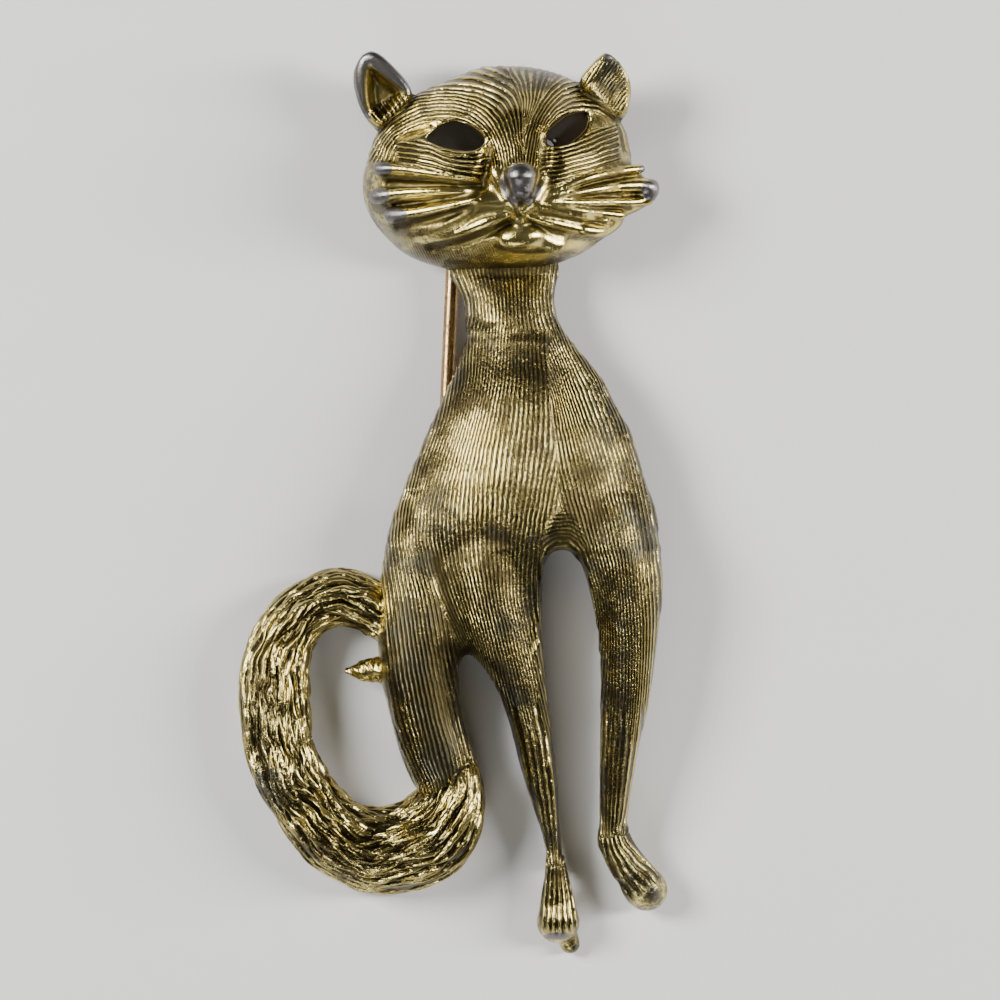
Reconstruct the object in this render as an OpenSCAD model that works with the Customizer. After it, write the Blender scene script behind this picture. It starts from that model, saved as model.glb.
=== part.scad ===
// Cat brooch: one gilt metal casting of a seated cat with its back left open, and the
// pin that fastens it. It lies on its back, face up: +Y is the top of the head, +X the
// viewer's right, and z = 0 the surface it rests on.

/* [Head] */
// Width of the head across the cheeks
head_w = 20.2; // [17:0.1:24]
// Length of the head from crown to jaw
head_l = 15.15; // [13:0.05:18]
// Height of the face's dome above the surface that the brooch lies on
head_h = 10.2; // [9:0.1:12]
// How far the head's middle stands right of the brooch's middle
head_x = 3.55; // [2:0.05:5]
// Length of each eye opening
eye_l = 4.3; // [3:0.1:5]
// Height of each eye opening
eye_h = 2.1; // [1.4:0.1:2.6]
// Length of an ear from its root to its tip
ear_l = 5.4; // [4:0.1:7]
// Depth of the hollow in each ear
ear_cup = 1.4; // [0.8:0.1:2]
// Diameter of a whisker
whisker_d = 0.8; // [0.6:0.05:1.1]
// Diameter of a whisker's ball end
whisker_tip_d = 1.05; // [0.8:0.05:1.3]
// Width of the nose
nose_w = 2.3; // [2:0.1:3]

/* [Body] */
// Length of the neck from jaw to shoulder
neck_l = 5; // [4:0.1:7]
// Width of the neck
neck_w = 6.8; // [5.5:0.1:8.5]
// Length of the trunk from shoulder to hip
body_l = 19.35; // [17:0.05:23]
// Width of the trunk at the elbows
body_w = 20.5; // [18:0.1:24]
// Height of the chest above the surface that the brooch lies on
chest_h = 8.2; // [7:0.1:10]
// How far the trunk's middle stands right of the brooch's middle
body_x = 5.35; // [4:0.05:6.5]

/* [Legs] */
// Length of the forelegs from hip to ankle
leg_l = 19.6; // [16:0.1:23]
// Width of the left foreleg at the hip
left_leg_w = 7.35; // [6.5:0.05:9]
// Width of the right foreleg at the hip
right_leg_w = 5.1; // [4.5:0.1:6.5]
// Length of a paw below the ankle
paw_l = 6.15; // [5:0.05:7.5]
// Width of a paw
paw_w = 3.1; // [2.6:0.1:3.6]
// Width of the haunch
haunch_w = 6.5; // [5.5:0.1:8]
// Length of the haunch from the crotch to its foot
haunch_l = 16.9; // [15:0.1:19]
// Height of the haunch above the surface that the brooch lies on
haunch_h = 7; // [6:0.1:8]

/* [Tail] */
// Width of the tail halfway round its curl
tail_w = 5.1; // [4:0.1:6]
// Height of the tail above the surface that the brooch lies on
tail_h = 5.8; // [5:0.1:7]
// Width of the tail's curl
curl_w = 18.35; // [16:0.05:22]
// Length of the tail's curl
curl_l = 24.3; // [21:0.1:28]

/* [Open back] */
// Thickness of the cast wall
wall = 1.2; // [1:0.1:1.6]
// Height of the open back's edge above the surface that the brooch lies on
rim_z = 2.4; // [2.2:0.1:3]
// Width of the bars across the open back that carry the joint and the catch
bar_w = 4.4; // [3.6:0.1:5.5]
// Thickness of those bars
bar_t = 1.2; // [0.8:0.1:1.6]

/* [Pin] */
// Length of the pin from its hinge to its point
pin_l = 31; // [29:0.1:33]
// Diameter of the pin's stem
stem_d = 1; // [0.9:0.05:1.1]
// Length of the pin's point
point_l = 8; // [7:0.1:9]
// Length of the swelling between the pin's eye and its stem
root_l = 2.2; // [1.8:0.1:3]
// How far the pin leans to the left, in degrees
pin_lean = 2.6; // [0:0.1:5]
// How far the hinge stands right of the brooch's middle
pin_x = 0.2; // [-0.5:0.1:1]
// How far below the crown the hinge stands
pin_drop = 10.05; // [9:0.05:11]
// Diameter of the rivet
rivet_d = 0.72; // [0.6:0.02:0.8]
// Outer diameter of the pin's eye and of the joint's ears
eye_d = 1.9; // [1.8:0.05:2]
// Thickness of the joint's sheet metal
joint_t = 0.5; // [0.4:0.05:0.6]
// Thickness of the catch's strip
catch_t = 0.32; // [0.25:0.01:0.35]
// Length of the catch along the pin
catch_l = 2.2; // [1.6:0.1:3]

/* [Hidden] */
gold = [0.78, 0.62, 0.25];
brass = [0.72, 0.6, 0.32];

fit = 0.02;         // rivet to the joint's ears, all round
run = 0.06;         // rivet to the pin's eye, all round
side = 0.1;         // pin's eye to the ears beside it
head_t = 0.25;      // rivet head's thickness
slack = 0.2;        // room over the pin's eye and under the catch's lip
deep = 4;           // how far a hollow's cutter runs out of the back
steps = 14;         // facets across a dome
hollow_steps = 8;   // facets across the hollow inside it
full = 2.3;         // 2 gives a round dome, more gives a fuller one

// Levels along the brooch, from the crown down
joint_l = 3;        // the joint's plate, along the pin
head_lip = 0.25;    // rivet head past the rivet, all round
swell = 0.2;        // pin's root thicker than its stem
tip_d = 0.2;        // pin's very point
catch_back = 1.4;   // pin's point past the catch
bite = 0.1;         // how far parts of one solid run into each other
ear_rise = 0.8;     // ear tips above the crown
haunch_drop = 0.8;  // haunch's table below the crotch
toe_drop = 0.7;     // last toe below the paw
crown_y = (head_l + neck_l + body_l + leg_l + paw_l + toe_drop - ear_rise) / 2;
jaw_y = crown_y - head_l;
shoulder_y = jaw_y - neck_l;
hip_y = shoulder_y - body_l;
ankle_y = hip_y - leg_l;
crotch_y = hip_y + 0.2 * body_l;
haunch_x = body_x - 0.376 * body_w;
curl_x = haunch_x - 0.241 * curl_w;
curl_y = hip_y - 0.41 * curl_l;

// The pin's own frame: its hinge is at pin_at, it runs along its own -Y
pin_z = eye_d / 2;
pin_at = [pin_x, crown_y - pin_drop, pin_z];
stem_end = pin_l - point_l;
catch_at = pin_l - catch_l / 2 - catch_back;
ear_gap = 1.7;

// Sections of each form. along: share of its length, mid: middle line's offset as a
// share of the trunk's width, wide: share of its width, foot: share of rim_z,
// top: share of its height
//        along  left  right  top
HEAD = [
    [0.00, 0.07, 0.11, 0.34],
    [0.02, 0.11, 0.18, 0.46],
    [0.06, 0.18, 0.26, 0.58],
    [0.11, 0.27, 0.33, 0.68],
    [0.17, 0.35, 0.385, 0.77],
    [0.24, 0.41, 0.43, 0.85],
    [0.33, 0.455, 0.465, 0.92],
    [0.43, 0.485, 0.48, 0.97],
    [0.56, 0.505, 0.485, 1.00],
    [0.68, 0.495, 0.465, 0.98],
    [0.79, 0.45, 0.42, 0.91],
    [0.85, 0.41, 0.37, 0.84],
    [0.90, 0.37, 0.32, 0.75],
    [0.94, 0.32, 0.26, 0.64],
    [0.97, 0.26, 0.20, 0.53],
    [1.00, 0.18, 0.15, 0.40]];
//        along   mid    wide  foot  top
NECK = [
    [-0.60, -0.07, 1.15, 1, 0.62],
    [0.08, -0.075, 1.20, 1, 0.66],
    [0.22, -0.068, 1.10, 1, 0.67],
    [0.45, -0.056, 1.00, 1, 0.69],
    [0.75, -0.045, 1.02, 1, 0.73],
    [1.00, -0.023, 1.11, 1, 0.74],
    [1.30, -0.010, 1.20, 1, 0.72]];
TRUNK = [
    [-0.10, -0.04, 0.20, 1, 0.55],
    [0.00, -0.023, 0.36, 1, 0.72],
    [0.04, -0.015, 0.41, 1, 0.75],
    [0.10, 0.000, 0.48, 1, 0.79],
    [0.17, 0.010, 0.56, 1, 0.85],
    [0.24, 0.010, 0.62, 1, 0.90],
    [0.32, 0.015, 0.70, 1, 0.94],
    [0.38, 0.016, 0.75, 1, 0.96],
    [0.47, 0.010, 0.81, 1, 0.98],
    [0.54, 0.004, 0.86, 1, 1.00],
    [0.62, 0.004, 0.91, 1, 1.00],
    [0.70, 0.000, 0.965, 1, 0.98],
    [0.76, 0.000, 0.97, 1, 0.90],
    [0.80, 0.000, 0.93, 1, 0.74]];
LEFT_LEG = [
    [-0.45, -0.10, 0.95, 1, 0.88],
    [-0.30, -0.10, 1.21, 1, 0.94],
    [-0.20, -0.10, 1.29, 1, 0.96],
    [-0.17, -0.12, 1.17, 1, 0.96],
    [-0.11, -0.134, 1.09, 1, 0.96],
    [0.00, -0.122, 1.00, 1, 0.94],
    [0.11, -0.102, 0.91, 0.98, 0.90],
    [0.19, -0.072, 0.76, 0.95, 0.86],
    [0.27, -0.036, 0.60, 0.90, 0.81],
    [0.34, -0.012, 0.51, 0.86, 0.77],
    [0.43, 0.009, 0.43, 0.80, 0.71],
    [0.53, 0.029, 0.40, 0.73, 0.66],
    [0.65, 0.052, 0.37, 0.66, 0.60],
    [0.76, 0.072, 0.28, 0.60, 0.54],
    [0.88, 0.093, 0.20, 0.52, 0.47],
    [0.96, 0.106, 0.17, 0.48, 0.43],
    [1.03, 0.113, 0.19, 0.42, 0.42]];
RIGHT_LEG = [
    [-0.60, 0.24, 1.20, 1, 0.80],
    [-0.38, 0.265, 1.50, 1, 0.92],
    [-0.20, 0.314, 1.42, 1, 0.95],
    [-0.17, 0.339, 1.25, 1, 0.94],
    [-0.11, 0.358, 1.14, 1, 0.93],
    [-0.04, 0.373, 1.03, 1, 0.90],
    [0.02, 0.379, 0.96, 1, 0.88],
    [0.11, 0.378, 0.87, 0.98, 0.85],
    [0.23, 0.374, 0.79, 0.93, 0.81],
    [0.38, 0.365, 0.72, 0.86, 0.76],
    [0.55, 0.346, 0.59, 0.74, 0.67],
    [0.73, 0.330, 0.46, 0.62, 0.58],
    [0.82, 0.324, 0.42, 0.54, 0.52],
    [0.90, 0.322, 0.41, 0.46, 0.48],
    [0.97, 0.327, 0.43, 0.40, 0.46]];
HAUNCH = [
    [-0.27, 0.018, 0.36, 1, 0.80],
    [-0.13, 0.000, 0.70, 1, 0.92],
    [0.00, 0.000, 0.84, 1, 0.98],
    [0.13, 0.000, 0.93, 1, 1.00],
    [0.27, 0.000, 0.98, 1, 1.00],
    [0.36, 0.000, 1.00, 1, 0.99],
    [0.42, -0.005, 0.94, 1, 0.98],
    [0.51, -0.007, 0.91, 0.98, 0.96],
    [0.62, 0.006, 0.85, 0.94, 0.92],
    [0.72, 0.022, 0.82, 0.88, 0.88],
    [0.82, 0.045, 0.81, 0.80, 0.83],
    [0.91, 0.066, 0.74, 0.70, 0.78],
    [1.00, 0.084, 0.62, 0.60, 0.72],
    [1.07, 0.093, 0.45, 0.50, 0.66]];
// angle: round the curl, mid: share of the curl's half size, wide, top: as above
//      angle  mid    wide  top
TAIL = [
    [72, 0.72, 0.80, 0.78],
    [90, 0.79, 0.87, 0.76],
    [105, 0.85, 0.81, 0.76],
    [120, 0.864, 0.82, 0.78],
    [135, 0.843, 1.00, 0.84],
    [150, 0.789, 1.10, 0.88],
    [165, 0.742, 1.09, 0.90],
    [180, 0.697, 1.00, 0.90],
    [195, 0.665, 1.00, 0.90],
    [210, 0.641, 1.01, 0.90],
    [225, 0.635, 1.05, 0.91],
    [240, 0.656, 1.15, 0.93],
    [255, 0.679, 1.19, 0.95],
    [270, 0.720, 1.25, 0.97],
    [285, 0.761, 1.27, 0.98],
    [300, 0.812, 1.28, 1.00],
    [315, 0.862, 1.24, 1.02],
    [330, 0.877, 1.00, 1.04],
    [343, 0.885, 0.46, 1.00],
    [351, 0.897, 0.06, 0.70]];
// Points on the face are shares of the head's width right of its middle and of its
// length below the crown. size: share of the whisker's diameter
LEFT_WHISKERS = [
    [[-0.45, 0.50], [-0.385, 0.508], [-0.257, 0.548], [-0.055, 0.60]],
    [[-0.456, 0.64], [-0.37, 0.633], [-0.22, 0.632], [-0.07, 0.627]],
    [[-0.415, 0.747], [-0.36, 0.742], [-0.20, 0.717], [-0.07, 0.685]]];
RIGHT_WHISKERS = [
    [[0.50, 0.526], [0.44, 0.523], [0.36, 0.54], [0.176, 0.65]],
    [[0.575, 0.615], [0.515, 0.579], [0.404, 0.60], [0.18, 0.67]],
    [[0.55, 0.65], [0.44, 0.668], [0.294, 0.683], [0.18, 0.694]],
    [[0.45, 0.741], [0.404, 0.729], [0.33, 0.734]]];
LIPS = [
    [[0.074, 0.735], [-0.037, 0.761], [-0.11, 0.786], [-0.184, 0.832], [-0.30, 0.87]],
    [[0.074, 0.735], [0.13, 0.744], [0.184, 0.789], [0.32, 0.83], [0.42, 0.79]]];
//        right  down  long  high  turn
EYES = [
    [-0.162, 0.385, 1.00, 1.00, -4],
    [0.245, 0.340, 0.95, 0.82, 32]];
// Ears, round from the root: right, down, share of the ear's length, height
LEFT_EAR = [
    [-0.364, 0.163, 0.14, 0.62],
    [-0.465, 0.257, 0.15, 0.56],
    [-0.513, 0.144, 0.12, 0.60],
    [-0.498, -0.020, 0.09, 0.66],
    [-0.416, 0.054, 0.11, 0.68]];
RIGHT_EAR = [
    [0.327, 0.119, 0.12, 0.62],
    [0.416, 0.208, 0.12, 0.56],
    [0.442, 0.084, 0.11, 0.60],
    [0.409, -0.005, 0.09, 0.66],
    [0.379, 0.030, 0.09, 0.66]];

// Rows between the table's own, on a smooth curve through them
function between(a, b, c, d, t) =
    b + t * ((c - a) / 2 + t * (a - 2.5 * b + 2 * c - d / 2 + t * (1.5 * (b - c) + (d - a) / 2)));
function refine(rows, cuts) = concat(
    [for (i = [0 : len(rows) - 2], s = [0 : cuts - 1])
        between(rows[max(i - 1, 0)], rows[i], rows[i + 1],
            rows[min(i + 2, len(rows) - 1)], s / cuts)],
    [rows[len(rows) - 1]]);

// One section: a dome over p, across dir, from foot up to top
function dome(p, dir, left, right, foot, top, n = steps) = [
    for (i = [0 : n])
        let (c = cos(180 * i / n), s = sin(180 * i / n),
            off = sign(c) * pow(abs(c), 2 / full) * (c < 0 ? left : right))
        [p[0] + dir[0] * off, p[1] + dir[1] * off, foot + (top - foot) * pow(s, 2 / full)]];
// The same dome inside the wall, and run out of the back
function well(p, dir, left, right, foot, top) =
    let (inner = dome(p, dir, left - wall, right - wall, foot, top - wall, hollow_steps),
        a = inner[0], b = inner[hollow_steps])
    concat([[a[0], a[1], foot - deep]], inner, [[b[0], b[1], foot - deep]]);

// A form from its table: p, direction, left, right, foot and top of each section
function head_forms(cuts) = [for (r = refine(HEAD, cuts))
    [[head_x, crown_y - r[0] * head_l], [1, 0], r[1] * head_w, r[2] * head_w, rim_z,
        r[3] * head_h]];
function forms(cuts, rows, y, length, x, width, height) = [for (r = refine(rows, cuts))
    [[x + r[1] * body_w, y - r[0] * length], [1, 0], r[2] * width / 2, r[2] * width / 2,
        r[3] * rim_z, r[4] * height]];
function tail_forms(cuts) = [for (r = refine(TAIL, cuts))
    let (arm = [curl_w / 2 * cos(r[0]), curl_l / 2 * sin(r[0])])
    [[curl_x, curl_y] + r[1] * arm, -arm / norm(arm), r[2] * tail_w / 2, r[2] * tail_w / 2,
        0, r[3] * tail_h]];

function all_forms(cuts) = [
    head_forms(cuts),
    forms(1, NECK, jaw_y, neck_l, body_x, neck_w, chest_h),
    forms(1, TRUNK, shoulder_y, body_l, body_x, body_w, chest_h),
    forms(1, LEFT_LEG, hip_y, leg_l, body_x, left_leg_w, chest_h),
    forms(1, RIGHT_LEG, hip_y, leg_l, body_x, right_leg_w, chest_h),
    forms(1, HAUNCH, crotch_y - haunch_drop, haunch_l, haunch_x, haunch_w, haunch_h),
    tail_forms(cuts)];

function roomy(f) = min(f[2], f[3]) > 1.7 * wall && f[5] - f[4] > 1.5 * wall;
function solid_rings(list) = [for (f = list) dome(f[0], f[1], f[2], f[3], f[4], f[5])];
function hollow_rings(list) = [for (f = list) if (roomy(f))
    well(f[0], f[1], f[2], f[3], f[4], f[5])];

// Height of the face's dome at a point given in shares of the head
function column(rows, k) = [for (r = rows) [r[0], r[k]]];
function face_z(right, down) =
    let (half = lookup(down, column(HEAD, right < 0 ? 1 : 2)),
        top = lookup(down, column(HEAD, 3)) * head_h,
        left_over = max(1 - pow(abs(right) / half, full), 0.12))
    rim_z + (top - rim_z) * pow(left_over, 1 / full);
function on_face(right, down, lift = 0) =
    [head_x + right * head_w, crown_y - down * head_l, face_z(right, down) + lift];

module loft(rings) {
    n = len(rings[0]);
    last = (len(rings) - 1) * n;
    polyhedron(
        points = [for (r = rings) each r],
        faces = concat(
            [[for (i = [0 : n - 1]) i]],
            [[for (i = [n - 1 : -1 : 0]) last + i]],
            [for (j = [0 : len(rings) - 2], i = [0 : n - 1])
                let (a = j * n + i, b = j * n + (i + 1) % n)
                each [[a, a + n, b + n], [a, b + n, b]]]));
}

module ball(p, d, sides = 10) {
    translate(p) sphere(d = d, $fn = sides);
}

// A rod through points, thick[0] at its first point and thick[1] at the others
module rod(points, thick) {
    for (i = [0 : len(points) - 2])
        hull() {
            ball(points[i], thick[i == 0 ? 0 : 1], 8);
            ball(points[i + 1], thick[1], 8);
        }
}

module whisker(row) {
    sunk = whisker_d * 0.2;
    rod([for (p = row) on_face(p[0], p[1], -sunk / 2)], [whisker_tip_d, whisker_d]);
}

module lip(row) {
    rod([for (p = row) on_face(p[0], p[1], -0.25 * whisker_d)], [whisker_d, whisker_d]);
}

module nose() {
    hull() {
        ball(on_face(0.076 - 0.3 * nose_w / head_w, 0.55, 0.39 * nose_w), 0.4 * nose_w);
        ball(on_face(0.076 + 0.3 * nose_w / head_w, 0.555, 0.39 * nose_w), 0.4 * nose_w);
        ball(on_face(0.076, 0.63, 0.35 * nose_w), 0.4 * nose_w);
        ball(on_face(0.076, 0.58, -0.22 * nose_w), 0.8 * nose_w);
    }
    // The bridge above it
    hull() {
        ball(on_face(0.060, 0.34, -0.088 * head_h), 0.119 * head_w);
        ball(on_face(0.076, 0.54, -0.039 * head_h), 0.099 * head_w);
    }
}

module muzzle() {
    hull() {
        ball(on_face(-0.02, 0.69, -0.216 * head_h), 0.2475 * head_w, 14);
        ball(on_face(0.16, 0.69, -0.216 * head_h), 0.2475 * head_w, 14);
        ball(on_face(0.074, 0.64, -0.196 * head_h), 0.2475 * head_w, 14);
    }
    hull() {
        ball(on_face(0.04, 0.873, -0.034 * head_h), 0.084 * head_w);
        ball(on_face(0.14, 0.873, -0.034 * head_h), 0.084 * head_w);
    }
}

function ear_points(rows, lift) = [for (r = rows)
    [head_x + r[0] * head_w, crown_y - r[1] * head_l, r[3] * head_h + lift]];

module ear(rows) {
    at = ear_points(rows, 0);
    difference() {
        hull() {
            for (i = [0 : len(rows) - 1]) ball(at[i], 2 * rows[i][2] * ear_l);
            for (i = [0 : 1])
                ball([at[i][0], at[i][1], rim_z + rows[i][2] * ear_l],
                    2 * rows[i][2] * ear_l);
        }
        ear_hollow(rows);
    }
}

// The cup inside an ear: its outline drawn in towards the middle, open above
module ear_hollow(rows) {
    at = ear_points(rows, 0);
    mid = (at[0] + at[1] + at[2] + at[3] + at[4]) / 5;
    hull()
        for (p = at)
            let (q = mid + 0.62 * (p - mid)) {
                ball([q[0], q[1], p[2] - ear_cup + 0.167 * ear_l], 0.111 * ear_l, 8);
                ball([q[0], q[1], p[2] + 0.555 * ear_l], 0.185 * ear_l, 8);
            }
}

module paws() {
    fat = paw_w;
    left = [body_x + 0.113 * body_w, ankle_y, 0.34 * chest_h];
    right = [body_x + 0.325 * body_w, ankle_y + 0.08 * leg_l, 0.32 * chest_h];
    bottom = ankle_y - paw_l;
    toe = [left[0] + 0.065 * fat, bottom + fat / 2, fat / 2];
    hull() {
        ball(left, 0.19 * left_leg_w);
        ball(toe, fat, 16);
        ball(toe + fat * [0, 0.1, 0.226], 0.9 * fat, 16);
    }
    hull() {
        ball([toe[0] + 0.35 * fat, bottom + 0.016 * fat, 0.226 * fat], 0.42 * fat);
        ball([toe[0] + 0.1 * fat, bottom + fat / 2, 0.323 * fat], 0.516 * fat);
    }
    far = [right[0] + 0.4 * paw_l, ankle_y - 0.36 * paw_l, fat / 2];
    hull() {
        ball(right, 0.42 * right_leg_w);
        ball(far, fat, 16);
        ball(far + fat * [-0.129, 0.129, 0.226], 0.95 * fat, 16);
    }
}

module tail_tip() {
    hull() {
        ball([curl_x - 0.11 * curl_w / 2, curl_y + 0.376 * curl_l / 2, 0.414 * tail_h],
            0.086 * tail_h);
        ball([haunch_x - 0.40 * haunch_w, curl_y + 0.38 * curl_l / 2, 0.448 * tail_h],
            0.379 * tail_h);
    }
}

// Almond openings cut through the face
module eye_openings() {
    for (e = EYES)
        let (long = e[2] * eye_l, high = e[3] * eye_h,
            bow = (long * long / 4 + high * high / 4) / high)
        translate([head_x + e[0] * head_w, crown_y - e[1] * head_l, rim_z])
            rotate(e[4])
                linear_extrude(head_h)
                    intersection() {
                        translate([0, bow - high / 2]) circle(bow, $fn = 64);
                        translate([0, high / 2 - bow]) circle(bow, $fn = 64);
                    }
}

module forms_solid() {
    for (list = all_forms(2)) loft(solid_rings(list));
}

module hollows() {
    for (list = all_forms(1)) loft(hollow_rings(list));
}

// Bars across the open back, one behind the head and one behind the hip
module bars() {
    intersection() {
        forms_solid();
        union() {
            pin_frame(0) bar(head_w, head_w);
            pin_frame(catch_at) bar(0.24 * body_w, 0.5 * body_w);
        }
    }
}

module bar(left, right) {
    translate([-left, -bar_w / 2, rim_z]) cube([left + right, bar_w, bar_t]);
}

module casting() {
    color(gold) {
        difference() {
            union() {
                forms_solid();
                ear(LEFT_EAR);
                ear(RIGHT_EAR);
                for (row = concat(LEFT_WHISKERS, RIGHT_WHISKERS)) whisker(row);
                for (row = LIPS) lip(row);
                nose();
                muzzle();
                paws();
                tail_tip();
            }
            hollows();
            eye_openings();
        }
        bars();
    }
}

// Moves what is drawn at the hinge to a place that lies along the pin
module pin_frame(along) {
    translate([pin_at[0], pin_at[1], 0]) rotate(-pin_lean) translate([0, -along, 0])
        children();
}

// A cylinder across the pin, at its height
module across(d, length) {
    translate([0, 0, pin_z]) rotate([0, 90, 0])
        cylinder(d = d, h = length, center = true, $fn = 48);
}

// A round length of the pin, from one distance off its hinge to another
module along_pin(from, to, d1, d2) {
    translate([0, -from, pin_z]) rotate([90, 0, 0])
        cylinder(d1 = d1, d2 = d2, h = to - from, $fn = 48);
}

module pin_joint() {
    outer = ear_gap + 2 * joint_t;
    color(brass) pin_frame(0) difference() {
        union() {
            translate([-outer / 2, -joint_l / 2, rim_z - joint_t])
                cube([outer, joint_l, joint_t]);
            for (s = [-1, 1])
                translate([s * (ear_gap + joint_t) / 2, 0, 0]) {
                    across(eye_d, joint_t);
                    translate([-joint_t / 2, -eye_d / 2, pin_z])
                        cube([joint_t, eye_d, rim_z - pin_z]);
                }
        }
        across(rivet_d + 2 * fit, 2 * outer);
    }
}

module hinge_rivet() {
    outer = ear_gap + 2 * joint_t + 2 * fit;
    color(brass) pin_frame(0) {
        across(rivet_d, outer + head_t);
        for (s = [-1, 1])
            translate([s * (outer + head_t) / 2, 0, 0]) across(rivet_d + 2 * head_lip, head_t);
    }
}

module pin_stem() {
    knuckle_d = eye_d - 2 * slack;
    color([0.75, 0.7, 0.55]) pin_frame(0) difference() {
        union() {
            across(knuckle_d, ear_gap - 2 * side);
            along_pin(0, root_l, stem_d + swell, stem_d);
            along_pin(root_l, stem_end, stem_d, stem_d);
            along_pin(stem_end, pin_l, stem_d, tip_d);
        }
        across(rivet_d + 2 * run, 2 * ear_gap);
    }
}

module catch() {
    outer_r = pin_z - fit;
    lip = 48;
    far = 3 * outer_r;
    color(brass) pin_frame(catch_at) {
        translate([-0.58 * eye_d, -catch_l / 2, pin_z + outer_r - bite])
            cube([1.263 * eye_d, catch_l, rim_z - pin_z - outer_r + bite]);
        translate([0, 0, pin_z]) rotate([90, 0, 0]) difference() {
            cylinder(r = outer_r, h = catch_l, center = true, $fn = 64);
            cylinder(r = outer_r - catch_t, h = 2 * catch_l, center = true, $fn = 64);
            linear_extrude(2 * catch_l, center = true)
                polygon(far * [[0, 0], [0, 1], [-1, 1], [-1, -1], [0, -1],
                    [cos(lip), -sin(lip)]]);
        }
    }
}

casting();
pin_joint();
hinge_rivet();
pin_stem();
catch();
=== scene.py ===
import math

import bmesh
import bpy
import numpy as np
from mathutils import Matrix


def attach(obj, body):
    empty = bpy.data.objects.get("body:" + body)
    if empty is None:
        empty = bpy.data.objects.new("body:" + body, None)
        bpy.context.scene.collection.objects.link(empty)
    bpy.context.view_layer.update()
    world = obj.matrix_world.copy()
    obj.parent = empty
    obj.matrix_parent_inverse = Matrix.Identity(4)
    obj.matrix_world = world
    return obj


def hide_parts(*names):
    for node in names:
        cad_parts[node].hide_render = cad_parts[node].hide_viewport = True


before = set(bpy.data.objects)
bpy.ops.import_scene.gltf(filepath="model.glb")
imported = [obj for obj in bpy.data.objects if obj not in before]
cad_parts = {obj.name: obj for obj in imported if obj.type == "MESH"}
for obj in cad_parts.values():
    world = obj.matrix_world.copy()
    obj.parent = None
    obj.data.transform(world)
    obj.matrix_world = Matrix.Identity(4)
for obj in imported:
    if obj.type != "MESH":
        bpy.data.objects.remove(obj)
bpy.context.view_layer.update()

import openvdb
from bpy.props import FloatProperty, FloatVectorProperty, IntProperty, PointerProperty
from mathutils import Color, Vector

bl_info = {
    "name": "Cat brooch",
    "version": (1, 0, 0),
    "blender": (4, 5, 0),
    "location": "View3D > Sidebar > Brooch",
    "description": "Dresses the packed cat brooch: cast and chased skin, findings and stage",
    "category": "Object",
}

MM = 0.001

# The front view

# Tables that say "in the front view" give places across and down, in thousandths of what the
# camera sees from straight above. STEP is one thousandth on the floor, in mm, MIDDLE the
# middle of the view, and the CAD's origin shows at ORIGIN.
EYE_HEIGHT = 320
STEP = 0.075
MIDDLE = 500
ORIGIN = (453, 505)

# The casting's own sizes, mm

# FULL is how squarely a dome's section is filled out, RIM the height of the back over the floor
FULL = 2.3
WALL = 1.2
RIM = 2.4
HEAD_W, HEAD_L, HEAD_H, HEAD_X = 20.2, 15.15, 10.2, 3.55
EAR_L, EAR_CUP = 5.4, 2.0
NECK_L, NECK_W = 5.0, 6.8
BODY_L, BODY_W, CHEST_H, BODY_X = 19.35, 20.5, 8.2, 5.35
LEG_L, LEFT_LEG_W, RIGHT_LEG_W = 19.6, 7.35, 5.1
PAW_L, PAW_W = 6.15, 3.1
HAUNCH_W, HAUNCH_L, HAUNCH_H = 6.5, 16.9, 7.0
TAIL_W, TAIL_H, CURL_W, CURL_L = 5.1, 5.8, 18.35, 24.3
HAUNCH_RISE, TOE_DROP, EAR_RISE = 0.8, 0.7, 0.8
BAR_W, BAR_T = 4.4, 1.2
PIN_X, PIN_DROP, PIN_L, LEAN = 0.2, 10.05, 31, 2.6
# places along the brooch, from the head's crown to the ankles, and across it
CROWN = (HEAD_L + NECK_L + BODY_L + LEG_L + PAW_L + TOE_DROP - EAR_RISE) / 2
JAW = CROWN - HEAD_L
SHOULDER = JAW - NECK_L
HIP = SHOULDER - BODY_L
ANKLE = HIP - LEG_L
CROTCH = HIP + 0.2 * BODY_L
HAUNCH_X = BODY_X - 0.376 * BODY_W
CURL_X = HAUNCH_X - 0.241 * CURL_W
CURL_Y = HIP - 0.41 * CURL_L
HINGE = (PIN_X, CROWN - PIN_DROP)
CATCH_AT = PIN_L - 1.1 - 1.4
# mean heights over the floor at which outlines of the front view are read
FACE_HEIGHT, EYE_RIM, EAR_HEIGHT, WEB_HEIGHT, ARCH_HEIGHT = 8.8, 8.6, 6.4, 6.2, 5.5
# the height from which a point on the face is looked for, step by step
FACE_GUESS = 9.0
# the boxes that the sculpting fills, low and high corner
HEAD_BOX = ((-8.5, 15.9, 1.6), (17.2, 34.2, 11.9))
BODY_BOX = ((-8.0, -33.9, -0.6), (17.0, 20.6, 10.2))
TAIL_BOX = ((-16.6, -31.5, -0.6), (3.2, -3.4, 7.4))
# farther off than this a distance isn't kept
FAR = 3.0
# fillets where the hollow meets the skin, and where a bar meets the hollow
RIM_FILLET, BAR_FILLET = 0.25, 0.15
# where the body is parted into three pieces, along the brooch
CHEST_CUT, SHIN_CUT = -1.63, -13.67
# the tail's spur, which is cut less deep, and the mean arm of the curl
SPUR, SPUR_REACH, SPUR_LEFT, SPUR_CUT = (-6.2, -12.3), 2.6, -9, 0.35
CURL_ARM = 8.6

# Making the skin, and the findings' metals

# the layers of chased ribs that may lie over each other
LAYERS = "abc"
# how loosely a spline surface follows its guides, and how many points it does at once
SLACK, AT_ONCE = 1e-4, 20000
# the hollow's side: how near its wall a point lies, and the share of faces kept there
NEAR_HOLLOW, HOLLOW_KEEP = 0.3, 0.06
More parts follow.
